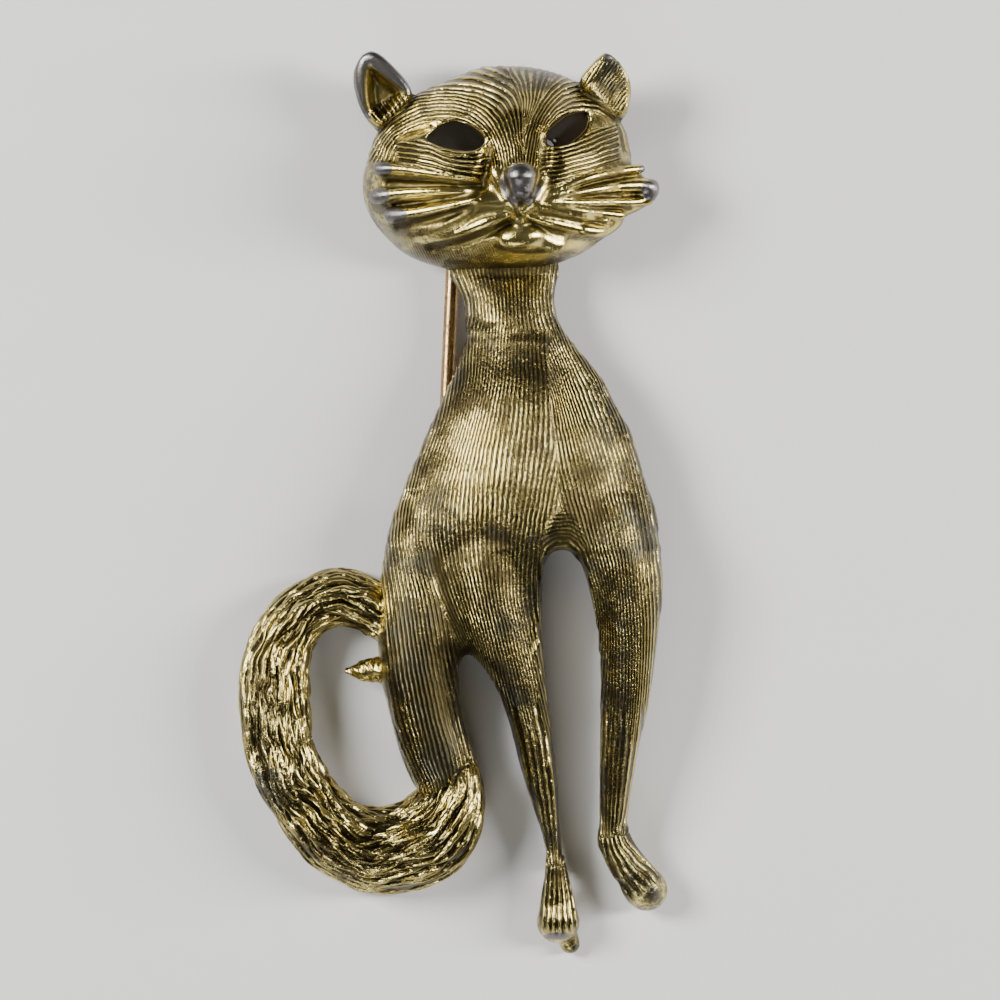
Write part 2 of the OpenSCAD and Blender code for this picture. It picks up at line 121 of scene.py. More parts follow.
# brown film on each form's top, and painted shade that darkens its sides as they turn away from
# above
FILM_AND_SIDE_SHADE = {"head": (0.16, 0.85), "body": (0.68, 0.65), "tail": (0.30, 0.5)}
# the most triangles of each form
MOST = {"head": 190000, "body": 565000, "tail": 190000}
# the findings' metals: colour where clean, colour where dull, roughness
BRASS_SHEET = (0.60, 0.44, 0.22), (0.28, 0.19, 0.09), 0.30
GILT_WIRE = (0.44, 0.29, 0.13), (0.20, 0.13, 0.06), 0.24

# The forms' sections, in shares of size

# along, left, right, top
HEAD = [
    [0.00, 0.07, 0.11, 0.34], [0.02, 0.11, 0.18, 0.46], [0.06, 0.18, 0.26, 0.58],
    [0.11, 0.27, 0.33, 0.68], [0.17, 0.35, 0.385, 0.77], [0.24, 0.41, 0.43, 0.85],
    [0.33, 0.455, 0.465, 0.92], [0.43, 0.485, 0.48, 0.97], [0.56, 0.505, 0.485, 1.00],
    [0.68, 0.495, 0.465, 0.98], [0.79, 0.45, 0.42, 0.91], [0.85, 0.41, 0.37, 0.84],
    [0.90, 0.37, 0.32, 0.75], [0.94, 0.32, 0.26, 0.64], [0.97, 0.26, 0.20, 0.53],
    [1.00, 0.18, 0.15, 0.40]]
# along, mid, wide, foot, top
NECK = [
    [-0.60, -0.07, 1.15, 1, 0.46], [0.00, -0.075, 1.20, 1, 0.53], [0.15, -0.072, 1.14, 1, 0.575],
    [0.30, -0.064, 1.06, 1, 0.62], [0.45, -0.056, 1.00, 1, 0.66], [0.75, -0.045, 1.02, 1, 0.71],
    [1.00, -0.023, 1.09, 1, 0.71], [1.15, -0.015, 1.05, 1, 0.64], [1.32, -0.010, 0.88, 1, 0.48]]
TRUNK = [
    [-0.10, -0.04, 0.20, 1, 0.55], [0.00, -0.023, 0.36, 1, 0.72], [0.04, -0.015, 0.41, 1, 0.75],
    [0.10, 0.000, 0.48, 1, 0.79], [0.17, 0.010, 0.56, 1, 0.85], [0.24, 0.010, 0.62, 1, 0.90],
    [0.32, 0.015, 0.70, 1, 0.94], [0.38, 0.016, 0.75, 1, 0.96], [0.47, 0.010, 0.81, 1, 0.98],
    [0.54, 0.004, 0.86, 1, 1.00], [0.62, 0.004, 0.915, 1, 1.00], [0.70, 0.000, 0.965, 1, 0.99],
    [0.77, 0.000, 0.96, 1, 0.97], [0.84, 0.000, 0.91, 1, 0.93], [0.92, 0.000, 0.85, 1, 0.86],
    [1.02, 0.004, 0.77, 1, 0.74], [1.14, 0.010, 0.68, 1, 0.58]]
# the gap between the forelegs, in the front view
ARCH = [
    (518, 676), (529, 656), (536.5, 638), (540.5, 618), (541, 596), (542, 565), (548, 553),
    (556, 547.5), (567, 547.5), (577, 553), (585, 566), (590, 590), (594, 608), (600, 628),
    (609, 648), (620, 668)]
LEFT_LEG = [
    [-0.45, -0.10, 0.90, 1, 0.80], [-0.30, -0.10, 1.19, 1, 0.92], [-0.20, -0.10, 1.29, 1, 0.96],
    [-0.17, -0.12, 1.17, 1, 0.96], [-0.11, -0.134, 1.09, 1, 0.96], [0.00, -0.122, 1.00, 1, 0.94],
    [0.11, -0.102, 0.91, 0.98, 0.90], [0.19, -0.072, 0.76, 0.95, 0.86],
    [0.27, -0.036, 0.60, 0.90, 0.81], [0.34, -0.012, 0.51, 0.86, 0.77],
    [0.43, 0.009, 0.43, 0.80, 0.71], [0.53, 0.029, 0.40, 0.73, 0.66],
    [0.65, 0.052, 0.37, 0.66, 0.60], [0.76, 0.072, 0.28, 0.60, 0.54],
    [0.88, 0.093, 0.20, 0.52, 0.47], [0.96, 0.106, 0.17, 0.48, 0.43],
    [1.03, 0.113, 0.19, 0.42, 0.42]]
RIGHT_LEG = [
    [-0.60, 0.20, 0.80, 1, 0.66], [-0.38, 0.260, 1.42, 1, 0.90], [-0.20, 0.314, 1.42, 1, 0.95],
    [-0.17, 0.339, 1.25, 1, 0.94], [-0.11, 0.358, 1.14, 1, 0.93], [-0.04, 0.373, 1.03, 1, 0.90],
    [0.02, 0.379, 0.96, 1, 0.88], [0.11, 0.378, 0.87, 0.98, 0.85], [0.23, 0.374, 0.79, 0.93, 0.81],
    [0.38, 0.365, 0.72, 0.86, 0.76], [0.55, 0.346, 0.59, 0.74, 0.67],
    [0.73, 0.330, 0.46, 0.62, 0.58], [0.82, 0.324, 0.42, 0.54, 0.52],
    [0.90, 0.322, 0.41, 0.46, 0.48], [0.95, 0.327, 0.38, 0.40, 0.46],
    [1.00, 0.338, 0.28, 0.30, 0.44], [1.05, 0.350, 0.14, 0.22, 0.38]]
HAUNCH = [
    [-0.27, 0.018, 0.36, 1, 0.80], [-0.13, 0.000, 0.70, 1, 0.92], [0.00, 0.000, 0.84, 1, 0.98],
    [0.13, 0.000, 0.93, 1, 1.00], [0.27, 0.000, 0.98, 1, 1.00], [0.36, 0.000, 1.00, 1, 0.99],
    [0.42, -0.005, 0.94, 1, 0.98], [0.51, -0.007, 0.91, 0.98, 0.96],
    [0.62, 0.006, 0.85, 0.94, 0.92], [0.72, 0.022, 0.82, 0.88, 0.88],
    [0.82, 0.047, 0.85, 0.80, 0.83], [0.91, 0.071, 0.84, 0.70, 0.78],
    [1.00, 0.091, 0.76, 0.60, 0.72], [1.07, 0.101, 0.62, 0.50, 0.66],
    [1.15, 0.108, 0.50, 0.30, 0.60]]
# angle, mid, wide, top
TAIL = [
    [72, 0.72, 0.80, 0.78], [90, 0.79, 0.87, 0.76], [105, 0.85, 0.81, 0.76],
    [120, 0.864, 0.82, 0.78], [135, 0.843, 1.00, 0.84], [150, 0.789, 1.10, 0.88],
    [165, 0.742, 1.09, 0.90], [180, 0.697, 1.00, 0.90], [195, 0.665, 1.00, 0.90],
    [210, 0.641, 1.01, 0.90], [225, 0.635, 1.05, 0.91], [240, 0.656, 1.15, 0.93],
    [255, 0.679, 1.19, 0.95], [270, 0.720, 1.25, 0.97], [285, 0.761, 1.27, 0.98],
    [300, 0.812, 1.28, 1.00], [315, 0.862, 1.24, 1.02], [330, 0.877, 1.00, 1.04],
    [343, 0.885, 0.46, 1.00], [351, 0.897, 0.06, 0.70]]

# What stands on the face

# Rods: across and down in the front view, radius and lift in mm
WHISKERS = [
    [(380.5, 168.7, 0.54, 0.62), (385, 168.6, 0.50, 0.50), (397, 168.6, 0.36, 0.26),
     (415, 170.6, 0.31, 0.12), (437, 173.8, 0.27, 0.06), (459, 177.6, 0.23, 0.02),
     (481, 182.0, 0.20, -0.06)],
    [(376.8, 196.2, 0.58, 0.80), (382, 195.6, 0.55, 0.62), (393, 193.8, 0.40, 0.34),
     (410, 192.2, 0.34, 0.16), (435, 191.2, 0.29, 0.08), (458, 190.8, 0.25, 0.03),
     (478, 190.4, 0.21, -0.05)],
    [(392.0, 215.2, 0.60, 0.40), (399, 214.6, 0.56, 0.32), (413, 213.0, 0.43, 0.15),
     (427, 210.6, 0.37, 0.09), (445, 207.0, 0.31, 0.05), (463, 202.8, 0.26, 0.02),
     (479, 198.6, 0.21, -0.05)],
    [(641, 168.8, 0.33, 0.18), (619, 171.0, 0.36, 0.20), (589, 177.6, 0.34, 0.12),
     (565, 187.3, 0.27, 0.03), (549, 193.6, 0.20, -0.05)],
    [(648, 186.6, 0.56, 0.26), (637, 185.0, 0.50, 0.28), (618, 186.2, 0.42, 0.22),
     (600, 188.6, 0.36, 0.14), (577, 192.8, 0.29, 0.04), (552, 199.2, 0.21, -0.05)],
    [(648, 200.0, 0.38, 0.08), (632, 202.0, 0.34, 0.18), (613, 202.0, 0.32, 0.16),
     (580, 202.4, 0.28, 0.05), (551, 201.6, 0.20, -0.05)],
    [(621, 215.0, 0.37, 0.10), (607, 213.4, 0.32, 0.14), (586, 211.4, 0.27, 0.05),
     (568, 208.0, 0.20, -0.05)]]
FINE_RIDGES = [
    [(389, 175.8, 0.26, -0.10), (426, 178.0, 0.26, -0.10), (469, 182.0, 0.24, -0.12)],
    [(390, 202.0, 0.26, -0.06), (402, 198.6, 0.26, -0.08), (430, 196.6, 0.26, -0.10),
     (469, 195.4, 0.24, -0.12)],
    [(392, 186.0, 0.24, -0.10), (430, 185.0, 0.24, -0.11), (468, 186.4, 0.22, -0.12)],
    [(418, 236, 0.24, -0.12), (437, 229, 0.25, -0.10), (455, 220, 0.25, -0.10),
     (471, 211, 0.22, -0.12)],
    [(430, 237, 0.24, -0.12), (448, 229.6, 0.25, -0.10), (463, 220, 0.25, -0.10),
     (476, 210.4, 0.22, -0.12)],
    [(634, 176.0, 0.24, -0.06), (604, 182, 0.24, -0.08), (572, 191.0, 0.22, -0.12)],
    [(628, 193.6, 0.24, -0.06), (604, 194.8, 0.24, -0.08), (575, 197.6, 0.22, -0.12)],
    [(606, 220.6, 0.28, -0.06), (590, 218.4, 0.26, -0.08), (572, 213.4, 0.24, -0.12)]]
LIPS = [
    [(508, 214.5, 0.22, 0.02), (498, 216.6, 0.38, 0.06), (487, 221.4, 0.52, 0.08),
     (475, 226.6, 0.52, 0.08), (462, 231.8, 0.42, 0.05), (447, 236.6, 0.29, 0.02),
     (430, 239.6, 0.19, 0.0), (413, 240, 0.12, 0.0)],
    [(524, 214, 0.20, 0.02), (536, 218.0, 0.27, 0.04), (550, 221.6, 0.36, 0.06),
     (565, 225.2, 0.43, 0.08), (580, 228.6, 0.48, 0.10), (594, 231.0, 0.46, 0.08),
     (604, 230.4, 0.32, 0.0)]]
NOSE_SIDES = [
    [(496, 170, 0.45, -0.20), (502, 184, 0.42, -0.12), (509, 199, 0.36, -0.08),
     (517, 212, 0.24, 0.0)],
    [(545, 170, 0.45, -0.20), (540, 187, 0.40, -0.12), (533, 201, 0.32, -0.08),
     (524, 212, 0.22, 0.0)]]
# The eye openings' outlines in the front view
EYES = [
    [(426, 139.5), (432, 131.5), (442, 125), (455, 122), (468, 125), (478, 132), (484.5, 139.5),
     (482, 147), (473, 152), (459, 151.5), (445, 148.5), (434, 144.5)],
    [(545, 143), (548.5, 132), (556, 122), (565, 115), (576, 111.5), (587, 111), (590, 119),
     (587, 129), (580, 137), (570, 143.8), (559, 147), (549, 147)]]
# how far each opening shifts across and down the brooch per mm of depth, and from what height
EYE_LEAN = ((0.0, 0.12, 8.9), (2.2, 1.8, 8.4))
# right, down, radius, height
LEFT_EAR = [
    [-0.364, 0.163, 0.14, 0.62], [-0.465, 0.257, 0.15, 0.56], [-0.513, 0.144, 0.12, 0.60],
    [-0.498, -0.020, 0.09, 0.66], [-0.416, 0.054, 0.11, 0.68]]
RIGHT_EAR = [
    [0.327, 0.119, 0.12, 0.62], [0.416, 0.208, 0.12, 0.56], [0.442, 0.084, 0.11, 0.60],
    [0.409, -0.005, 0.09, 0.66], [0.379, 0.030, 0.09, 0.66]]
# each ear's outline in the front view, and that of its cup
LEFT_EAR_EDGE = [
    (369, 51.5), (360, 56), (354, 68), (353, 81), (356, 96), (361, 109), (368, 119), (379, 127),
    (392, 119), (404, 109), (411, 98), (411, 89), (405, 79), (395, 68), (384, 57.5), (376, 52.5)]
LEFT_EAR_CUP = [
    (367, 66), (372, 65), (386, 75), (403, 89), (400, 101), (391, 112), (381, 121), (372, 117),
    (365.5, 105), (364, 84)]
RIGHT_EAR_EDGE = [
    (580, 80), (589, 67), (599, 57), (607, 52.5), (617, 54.5), (626, 61), (631, 75), (631.5, 92),
    (628, 110), (618, 116), (600, 108), (588, 96)]
RIGHT_EAR_CUP = [
    (587, 83), (598, 68), (608, 60.5), (619, 64), (625, 78), (623, 97), (613, 107), (598, 97)]

# How the chased ribs run

# Traced in the front view. Each guide: rib number, then points across and down
FAN_LEFT = [
    [0, (491, 158), (488, 148), (484, 138), (477, 130), (466, 124), (452, 120), (436, 120),
     (420, 123), (405, 129), (393, 137), (386, 147), (382, 158)],
    [2, (500, 158), (497, 146), (492, 134), (484, 123), (472, 114), (456, 109), (438, 108.5),
     (420, 111), (404, 118), (391, 127), (381, 139), (374, 152)],
    [4, (509, 158), (507, 146), (503, 134), (497, 121), (487, 110), (473, 102), (456, 98.5),
     (438, 98), (420, 100.5), (404, 106), (390, 115), (378, 128)],
    [6, (518, 158), (517, 146), (515, 132), (512, 118), (505, 105), (494, 96), (478, 90),
     (460, 87.5), (440, 88), (420, 92), (405, 98)],
    [7.6, (524, 158), (523, 146), (521.5, 132), (521, 118), (520, 104), (515, 93), (505, 85),
     (492, 79), (476, 74), (460, 73)]]
FAN_RIGHT = [
    [0, (522, 160), (524, 148), (527, 135), (531, 120), (537, 108), (541, 100), (550, 88),
     (560, 80)],
    [1.2, (527.5, 160), (529, 148), (532, 133), (537, 119), (545, 105), (553, 95), (566, 86),
     (580, 83)],
    [2.4, (532, 160), (534, 148), (537, 132), (543, 118), (552, 105), (562, 95), (576, 91),
     (590, 91), (602, 97)],
    [3.5, (537, 160), (538, 146), (541, 131), (548, 118), (558, 107), (570, 100), (584, 97),
     (598, 100), (610, 108)],
    [4.8, (540, 150), (543, 136), (549, 124), (558, 114), (570, 108), (584, 106), (598, 108),
     (612, 116), (620, 130), (624, 150)]]
WEDGE = [
    [0, (523, 125), (522, 100), (517, 85), (508, 70)],
    [1.7, (526, 125), (531, 100), (531, 85), (530, 70)],
    [3.5, (529, 125), (541, 100), (547, 85), (554, 70)]]
CHEEK_LEFT = [
    [0, (398, 141), (412, 143), (428, 146), (442, 152), (458, 156), (474, 157), (486, 153)],
    [1.3, (400, 150), (416, 151), (432, 154), (446, 160), (462, 163), (480, 164), (490, 161)],
    [2.8, (398, 158), (414, 160), (430, 164), (446, 169), (462, 172), (480, 175)],
    [4.4, (396, 168), (414, 170), (430, 173), (446, 177), (462, 181)]]
CHEEK_RIGHT = [
    [0, (545, 148), (560, 147), (575, 143), (590, 137), (604, 131), (618, 126)],
    [2, (545, 158), (560, 157), (575, 153), (590, 148), (604, 142), (618, 137)],
    [4, (546, 168), (560, 167), (575, 163), (590, 159), (604, 154), (618, 150)],
    [6.2, (548, 180), (560, 178), (575, 174), (590, 170), (604, 166), (618, 162)]]
EAR_RIBS = [
    [0, (585, 92), (596, 76), (606, 60)], [3, (597, 102), (608, 86), (620, 70)],
    [6, (609, 112), (620, 96), (632, 80)]]
EAR_ROOT = [
    [0, (368, 100), (376, 114), (384, 126)], [5, (398, 88), (406, 100), (414, 112)]]
NECK_RIBS = [
    [0, (447, 255), (455, 278), (464, 300), (465, 318), (458, 340)],
    [6, (475, 255), (481, 278), (486, 300), (487, 318), (483, 340)],
    [12.5, (505, 255), (508, 278), (510, 300), (511, 318), (511, 340)],
    [19, (534, 255), (534, 278), (534, 300), (536, 318), (542, 340)],
    [25, (561, 255), (558, 278), (556, 300), (560, 318), (574, 340)]]
TRUNK_LEFT = [
    [0, (428, 345), (426, 380), (418, 420), (408, 450), (401, 480), (394, 510), (391, 540),
     (394, 570), (400, 600)],
    [11.5, (466, 345), (464, 380), (456, 420), (446, 450), (437, 480), (431, 510), (430, 540),
     (436, 570), (446, 600), (460, 630), (474, 660)],
    [17, (458, 570), (466, 600), (475, 630), (484, 660), (494, 700), (505, 740), (517, 780),
     (532, 820), (541, 850)],
    [21.8, (499, 345), (496, 380), (488, 420), (481, 450), (476, 480), (474, 510), (474, 540),
     (477, 570), (483, 600), (490, 630), (498, 660), (508, 700), (519, 740), (530, 780),
     (541, 820), (547, 850)],
    [28.3, (520, 345), (520, 380), (517, 420), (513, 450), (509, 480), (506, 510), (504, 540),
     (504, 570), (506, 600), (513, 630), (520, 660), (529, 700), (539, 740), (549, 780),
     (556, 820), (559, 850)],
    [33.4, (540, 345), (543, 380), (543, 420), (541, 450), (537, 480), (532, 510), (527, 540),
     (524, 570), (524, 600), (530, 630), (536, 660), (545, 700), (555, 740), (562, 780)],
    [35.8, (555, 450), (548, 480), (543, 510), (538, 545), (536, 570), (537, 600), (541, 630),
     (546, 660)]]
TRUNK_RIGHT = [
    [0, (551, 400), (556, 440), (561, 470), (568, 500), (577, 530), (588, 560), (597, 590),
     (602, 620), (601, 660), (598, 700), (595, 740)],
    [4.5, (556, 380), (568, 420), (578, 460), (588, 500), (598, 540), (606, 570), (611, 600),
     (613, 640), (612, 680), (610, 720), (607, 760), (605, 800), (606, 835)],
    [10.3, (565, 360), (580, 400), (594, 440), (606, 480), (616, 520), (624, 560), (628, 600),
     (631, 640), (631, 680), (629, 720), (625, 760), (620, 800), (620, 835)],
    [16, (575, 345), (596, 380), (613, 420), (625, 460), (634, 500), (641, 540), (645, 580),
     (648, 620), (647, 660), (644, 700), (639, 740), (633, 780), (630, 820)],
    [20.8, (590, 350), (607, 380), (628, 420), (642, 460), (652, 500), (660, 540), (665, 580),
     (664, 620), (660, 660), (655, 700), (649, 740), (643, 780)]]
HAUNCH_RIBS = [
    [-6, (376, 600), (379, 640), (384, 680), (391, 720), (402, 750), (415, 780)],
    [-3, (381, 540), (383, 570), (387, 600), (391, 640), (396, 680), (404, 720), (415, 755),
     (428, 785)],
    [0, (391, 520), (391, 540), (394, 570), (399, 600), (404, 640), (410, 680), (418, 720),
     (428, 760), (440, 790)],
    [4, (404, 520), (405, 540), (409, 570), (415, 600), (421, 640), (428, 680), (437, 720),
     (448, 760)],
    [8, (418, 520), (418, 540), (423, 570), (431, 600), (438, 640), (446, 680), (455, 720),
     (464, 755)],
    [11.5, (430, 520), (430, 540), (436, 570), (446, 600), (454, 640), (462, 680)]]
LEFT_SHIN = [
    [0, (482, 690), (497, 740), (508, 780), (522, 820), (534, 850), (540, 870)],
    [4, (513, 690), (526, 740), (533, 780), (541, 820), (547, 850), (550, 870)],
    [8, (545, 690), (555, 740), (559, 780), (561, 820), (561, 850), (560, 870)]]
RIGHT_SHIN = [
    [0, (594, 690), (594, 740), (593, 780), (595, 835)],
    [4, (611, 690), (610, 740), (608, 780), (607, 835)],
    [9, (641, 690), (638, 740), (632, 780), (624, 835)]]
LEFT_PAW_RIBS = [
    [0, (548, 860), (545, 896), (542, 930)], [1.2, (552, 860), (550, 896), (549, 930)],
    [2.4, (556, 860), (556, 896), (556, 930)], [3.6, (559, 860), (562, 896), (564, 930)],
    [4.8, (562, 860), (568, 896), (571, 928)]]
RIGHT_PAW_RIBS = [
    [0, (601, 830), (605, 858), (614, 880), (628, 898)],
    [2, (608, 828), (614, 850), (625, 870), (641, 888)],
    [4, (616, 826), (623, 845), (636, 861), (652, 876)],
    [6, (624, 822), (633, 838), (647, 852), (662, 868)]]
ARCH_RIBS = [
    [0, (541, 560), (546, 548), (556, 541), (568, 541), (578, 549), (583, 562)],
    [2.4, (530, 552), (538, 535), (552, 526), (570, 525), (586, 536), (594, 552)],
    [5, (520, 545), (530, 522), (548, 510), (574, 509), (594, 522), (604, 545)]]
JAW_RIBS = [
    [0, (425, 240), (437, 264)], [9, (463, 238), (476, 264)], [16, (494, 238), (506, 264)]]

# Each zone: layer, guides, how much closer the ribs lie, outline, feather, depth
HEAD_ZONES = [
    ("a", FAN_LEFT, 1.52, [(489, 167), (494, 152), (489, 140), (482, 130), (470, 124), (455, 121),
     (435, 121), (415, 127), (398, 136), (396, 160), (386, 165), (360, 160), (366, 120),
     (395, 95), (425, 80), (460, 62), (505, 62), (517, 90), (523, 118), (524, 140), (523, 166)],
     2.5, 1.0),
    ("b", WEDGE, 1.75, [(525, 128), (519, 100), (512, 85), (500, 60), (560, 60), (549, 85),
     (540, 100), (531, 118)], 2.5, 0.8),
    ("c", FAN_RIGHT, 1.35, [(522, 166), (523, 148), (525, 130), (531, 116), (540, 100), (550, 84),
     (560, 68), (640, 80), (640, 160), (619, 150), (615, 120), (592, 109), (575, 109), (558, 116),
     (545, 130), (540, 150), (540, 166)], 2.5, 0.85),
    ("b", CHEEK_LEFT, 1.15, [(400, 141), (427, 141), (440, 151), (465, 156), (482, 152),
     (490, 158), (488, 170), (480, 180), (450, 174), (420, 168), (400, 164), (396, 150)],
     2.0, 1.0),
    ("b", CHEEK_RIGHT, 1.1, [(543, 148), (558, 145), (578, 140), (592, 130), (618, 124),
     (620, 160), (600, 168), (575, 176), (556, 186), (547, 188), (541, 172)], 2.0, 0.9),
    ("c", JAW_RIBS, 1.7, [(404, 246), (440, 247), (470, 243), (496, 240), (506, 264), (470, 274),
     (420, 262)], 9.0, 0.4)]
EAR_ZONES = [
    ("b", EAR_RIBS, 1.6, [(583, 84), (600, 62), (622, 60), (628, 112), (612, 108), (600, 92)],
     2.0, 0.45),
    ("c", EAR_ROOT, 1.2, [(368, 116), (376, 106), (400, 92), (406, 100), (400, 112), (384, 124)],
     1.5, 0.8)]
BODY_ZONES = [
    ("c", NECK_RIBS, 1.0, [(436, 250), (570, 250), (566, 312), (572, 324), (560, 330), (500, 328),
     (462, 332), (454, 322), (462, 310)], 5, 0.8),
    ("a", TRUNK_LEFT, 1.0, [(456, 326), (500, 326), (546, 330), (549, 374), (550, 400),
     (556, 450), (559, 505), (548, 520), (540, 560), (543, 600), (552, 690), (560, 706),
     (549, 742), (538, 700), (527, 738), (516, 694), (506, 734), (494, 696), (480, 716),
     (470, 680), (458, 648), (440, 600), (433, 565), (428, 548), (370, 548), (380, 480),
     (420, 400)], 4, 1.0),
    ("b", TRUNK_RIGHT, 1.0, [(549, 374), (551, 345), (556, 322), (620, 330), (690, 560),
     (680, 640), (664, 716), (652, 738), (643, 700), (633, 744), (623, 704), (613, 742),
     (604, 700), (594, 730), (586, 704), (588, 640), (590, 590), (583, 550), (572, 524),
     (560, 506), (556, 450), (550, 400)], 4, 0.95),
    ("c", ARCH_RIBS, 1.6, [(540, 560), (544, 535), (556, 512), (566, 510), (577, 520), (588, 545),
     (590, 565), (566, 575)], 3, 0.9),
    ("a", HAUNCH_RIBS, 1.0, [(370, 548), (428, 548), (433, 565), (440, 600), (458, 648),
     (472, 690), (480, 770), (440, 800), (404, 790), (396, 740), (389, 700), (387, 640),
     (386, 600), (378, 575)], 4, 0.95),
    ("c", LEFT_SHIN, 1.0, [(470, 700), (480, 716), (494, 696), (506, 734), (516, 694), (527, 738),
     (538, 700), (549, 742), (560, 706), (570, 790), (572, 866), (534, 866), (496, 790)], 3, 1.0),
    ("c", RIGHT_SHIN, 1.0, [(586, 704), (594, 730), (604, 700), (613, 742), (623, 704),
     (633, 744), (643, 700), (652, 738), (664, 716), (654, 790), (642, 832), (600, 838),
     (588, 780)], 3, 1.0),
    ("c", LEFT_PAW_RIBS, 1.0, [(546, 866), (566, 866), (576, 900), (579, 926), (560, 932),
     (540, 928), (540, 896)], 5, 1.0),
    ("c", RIGHT_PAW_RIBS, 1.0, [(598, 838), (636, 832), (660, 860), (664, 876), (640, 896),
     (622, 900), (604, 872)], 6, 0.85)]


def seen(points):
    """Where points in mm show in the front view, in thousandths of its width."""
    scale = EYE_HEIGHT / (EYE_HEIGHT - points[..., 2])
    flat_x = ORIGIN[0] + points[..., 0] / STEP
    flat_y = ORIGIN[1] - points[..., 1] / STEP
    return MIDDLE + (flat_x - MIDDLE) * scale, MIDDLE + (flat_y - MIDDLE) * scale


def under(across, down, z):
    """The point at height z that shows at a place in the front view."""
    shrink = 1 - z / EYE_HEIGHT
    return ((MIDDLE + (across - MIDDLE) * shrink - ORIGIN[0]) * STEP,
            (ORIGIN[1] - MIDDLE - (down - MIDDLE) * shrink) * STEP)


def smooth_rows(rows, cuts=5):
    """Rows on a smooth curve through a table's own."""
    rows = np.array(rows, float)
    out = []
    for i in range(len(rows) - 1):
        a, b = rows[max(i - 1, 0)], rows[i]
        c, d = rows[i + 1], rows[min(i + 2, len(rows) - 1)]
        for t in np.arange(cuts) / cuts:
            out.append(b + t * ((c - a) / 2 + t * (a - 2.5 * b + 2 * c - d / 2
                                                    + t * (1.5 * (b - c) + (d - a) / 2))))
    return np.array(out + [rows[-1]])


def column(table, at, index):
    """A column of a table, read at the places `at` along its first column."""
    return np.interp(at, table[:, 0], table[:, index])


def soft_min(a, b, soft):
    """The lesser of two distances, with a fillet `soft` wide where they meet."""
    soft = np.maximum(soft, 0.001)
    h = np.clip(0.5 + 0.5 * (b - a) / soft, 0, 1)
    return b + (a - b) * h - soft * h * (1 - h)


def soft_max(a, b, soft):
    """The greater of two distances, with a fillet where they meet."""
    return -soft_min(-a, -b, soft)


def ease(t):
    """From 0 to 1 as t does, with a soft start and end."""
    t = np.clip(t, 0, 1)
    return t * t * (3 - 2 * t)


def edge_distance(x, y, p, q):
    """Distance to a straight edge from p to q."""
    edge = q - p
    t = np.clip(((x - p[0]) * edge[0] + (y - p[1]) * edge[1]) / (edge @ edge), 0, 1)
    return np.hypot(x - p[0] - t * edge[0], y - p[1] - t * edge[1])


def outline_distance(x, y, outline):
    """Signed distance to a closed outline, negative inside."""
    pts = np.array(outline, float)
    best = np.full(np.broadcast(x, y).shape, 1e9)
    inside = np.zeros(best.shape, bool)
    for p, q in zip(pts, np.roll(pts, -1, axis=0)):
        best = np.minimum(best, edge_distance(x, y, p, q))
        if p[1] != q[1]:
            crosses = (y < p[1]) != (y < q[1])
            inside ^= crosses & (x < p[0] + (y - p[1]) / (q[1] - p[1]) * (q - p)[0])
    return np.where(inside, -best, best)


def line_distance(x, y, line):
    """Distance to an open line."""
    pts = np.array(line, float)
    best = np.full(np.broadcast(x, y).shape, 1e9)
    for p, q in zip(pts[:-1], pts[1:]):
        best = np.minimum(best, edge_distance(x, y, p, q))
    return best


class Block:
    """Sample points a pitch apart, which hold the distance in mm to what is pressed in."""

    def __init__(self, low, high, pitch):
        self.pitch = pitch
        self.low = np.array(low, float)
        self.axes = [np.arange(a, b + pitch, pitch, dtype=np.float32) for a, b in zip(low, high)]
        self.field = np.full([len(a) for a in self.axes], FAR, np.float32)

    def window(self, low, high):
        """The part of the block in a box, and its points' places."""
        cut = []
        for axis, a, b in zip(self.axes, low, high):
            first = int(np.searchsorted(axis, a))
            last = max(int(np.searchsorted(axis, b)), first + 2)
            cut.append(slice(first, last))
        x, y, z = (axis[c] for axis, c in zip(self.axes, cut))
        return tuple(cut), x[:, None, None], y[None, :, None], z[None, None, :]

    def press(self, shape, low, high, soft=0.0, angled=False):
        """Adds a shape; an angled fillet is wide only where the two surfaces meet at an angle."""
        cut, x, y, z = self.window(low, high)
        if min(self.field[cut].shape) > 1:
            new = shape(x, y, z)
            if angled:
                a, b = np.gradient(self.field[cut], self.pitch), np.gradient(new, self.pitch)
                turn = 1 - sum(p * q for p, q in zip(a, b))
                soft = soft * box_blur(np.clip(turn, 0, 1).astype(np.float32), 2)
            self.field[cut] = soft_min(self.field[cut], new, soft)

    def carve(self, shape, low, high, soft=0.0):
        """Takes a shape away."""
        cut, x, y, z = self.window(low, high)
        if min(self.field[cut].shape) > 1:
            self.field[cut] = soft_max(self.field[cut], -shape(x, y, z), soft)

    def distance(self, g, steady):
        """Distance in mm to where g is 1; a steady one doesn't shrink where widths change fast."""
        gx, gy, gz = np.gradient(g, self.pitch)
        if steady:
            across = np.hypot(gx, gz)
            gy = np.clip(gy, -across, across)
        slope = np.sqrt(gx * gx + gy * gy + gz * gz)
        return np.clip((g - 1) / np.maximum(slope, 0.04), -FAR, FAR)


def section_field(block, across, width_left, width_right, foot, top, z, lift=0.0, steady=True):
    """Distance to a dome: `across` is measured from its middle, all arrays broadcast."""
    half = np.where(across < 0, width_left, width_right)
    rise = np.maximum((z - lift - foot) / np.maximum(top - foot, 0.2), 0)
    g = (np.abs(across / np.maximum(half, 0.15)) ** FULL + rise ** FULL) ** (1 / FULL)
    return block.distance(g.astype(np.float32), steady)


def closed_dome(d, ends, half, foot, top, z, inset):
    """A dome closed at its foot and ends, or the inside of one, where there is room for it."""
    if inset:
        roomy = (half > 0.7 * WALL) & (top - foot > 0.5 * WALL)
        return np.maximum(np.maximum(d, ends + inset), np.where(roomy, -FAR, FAR))
    return np.maximum(np.maximum(d, foot - z), ends)


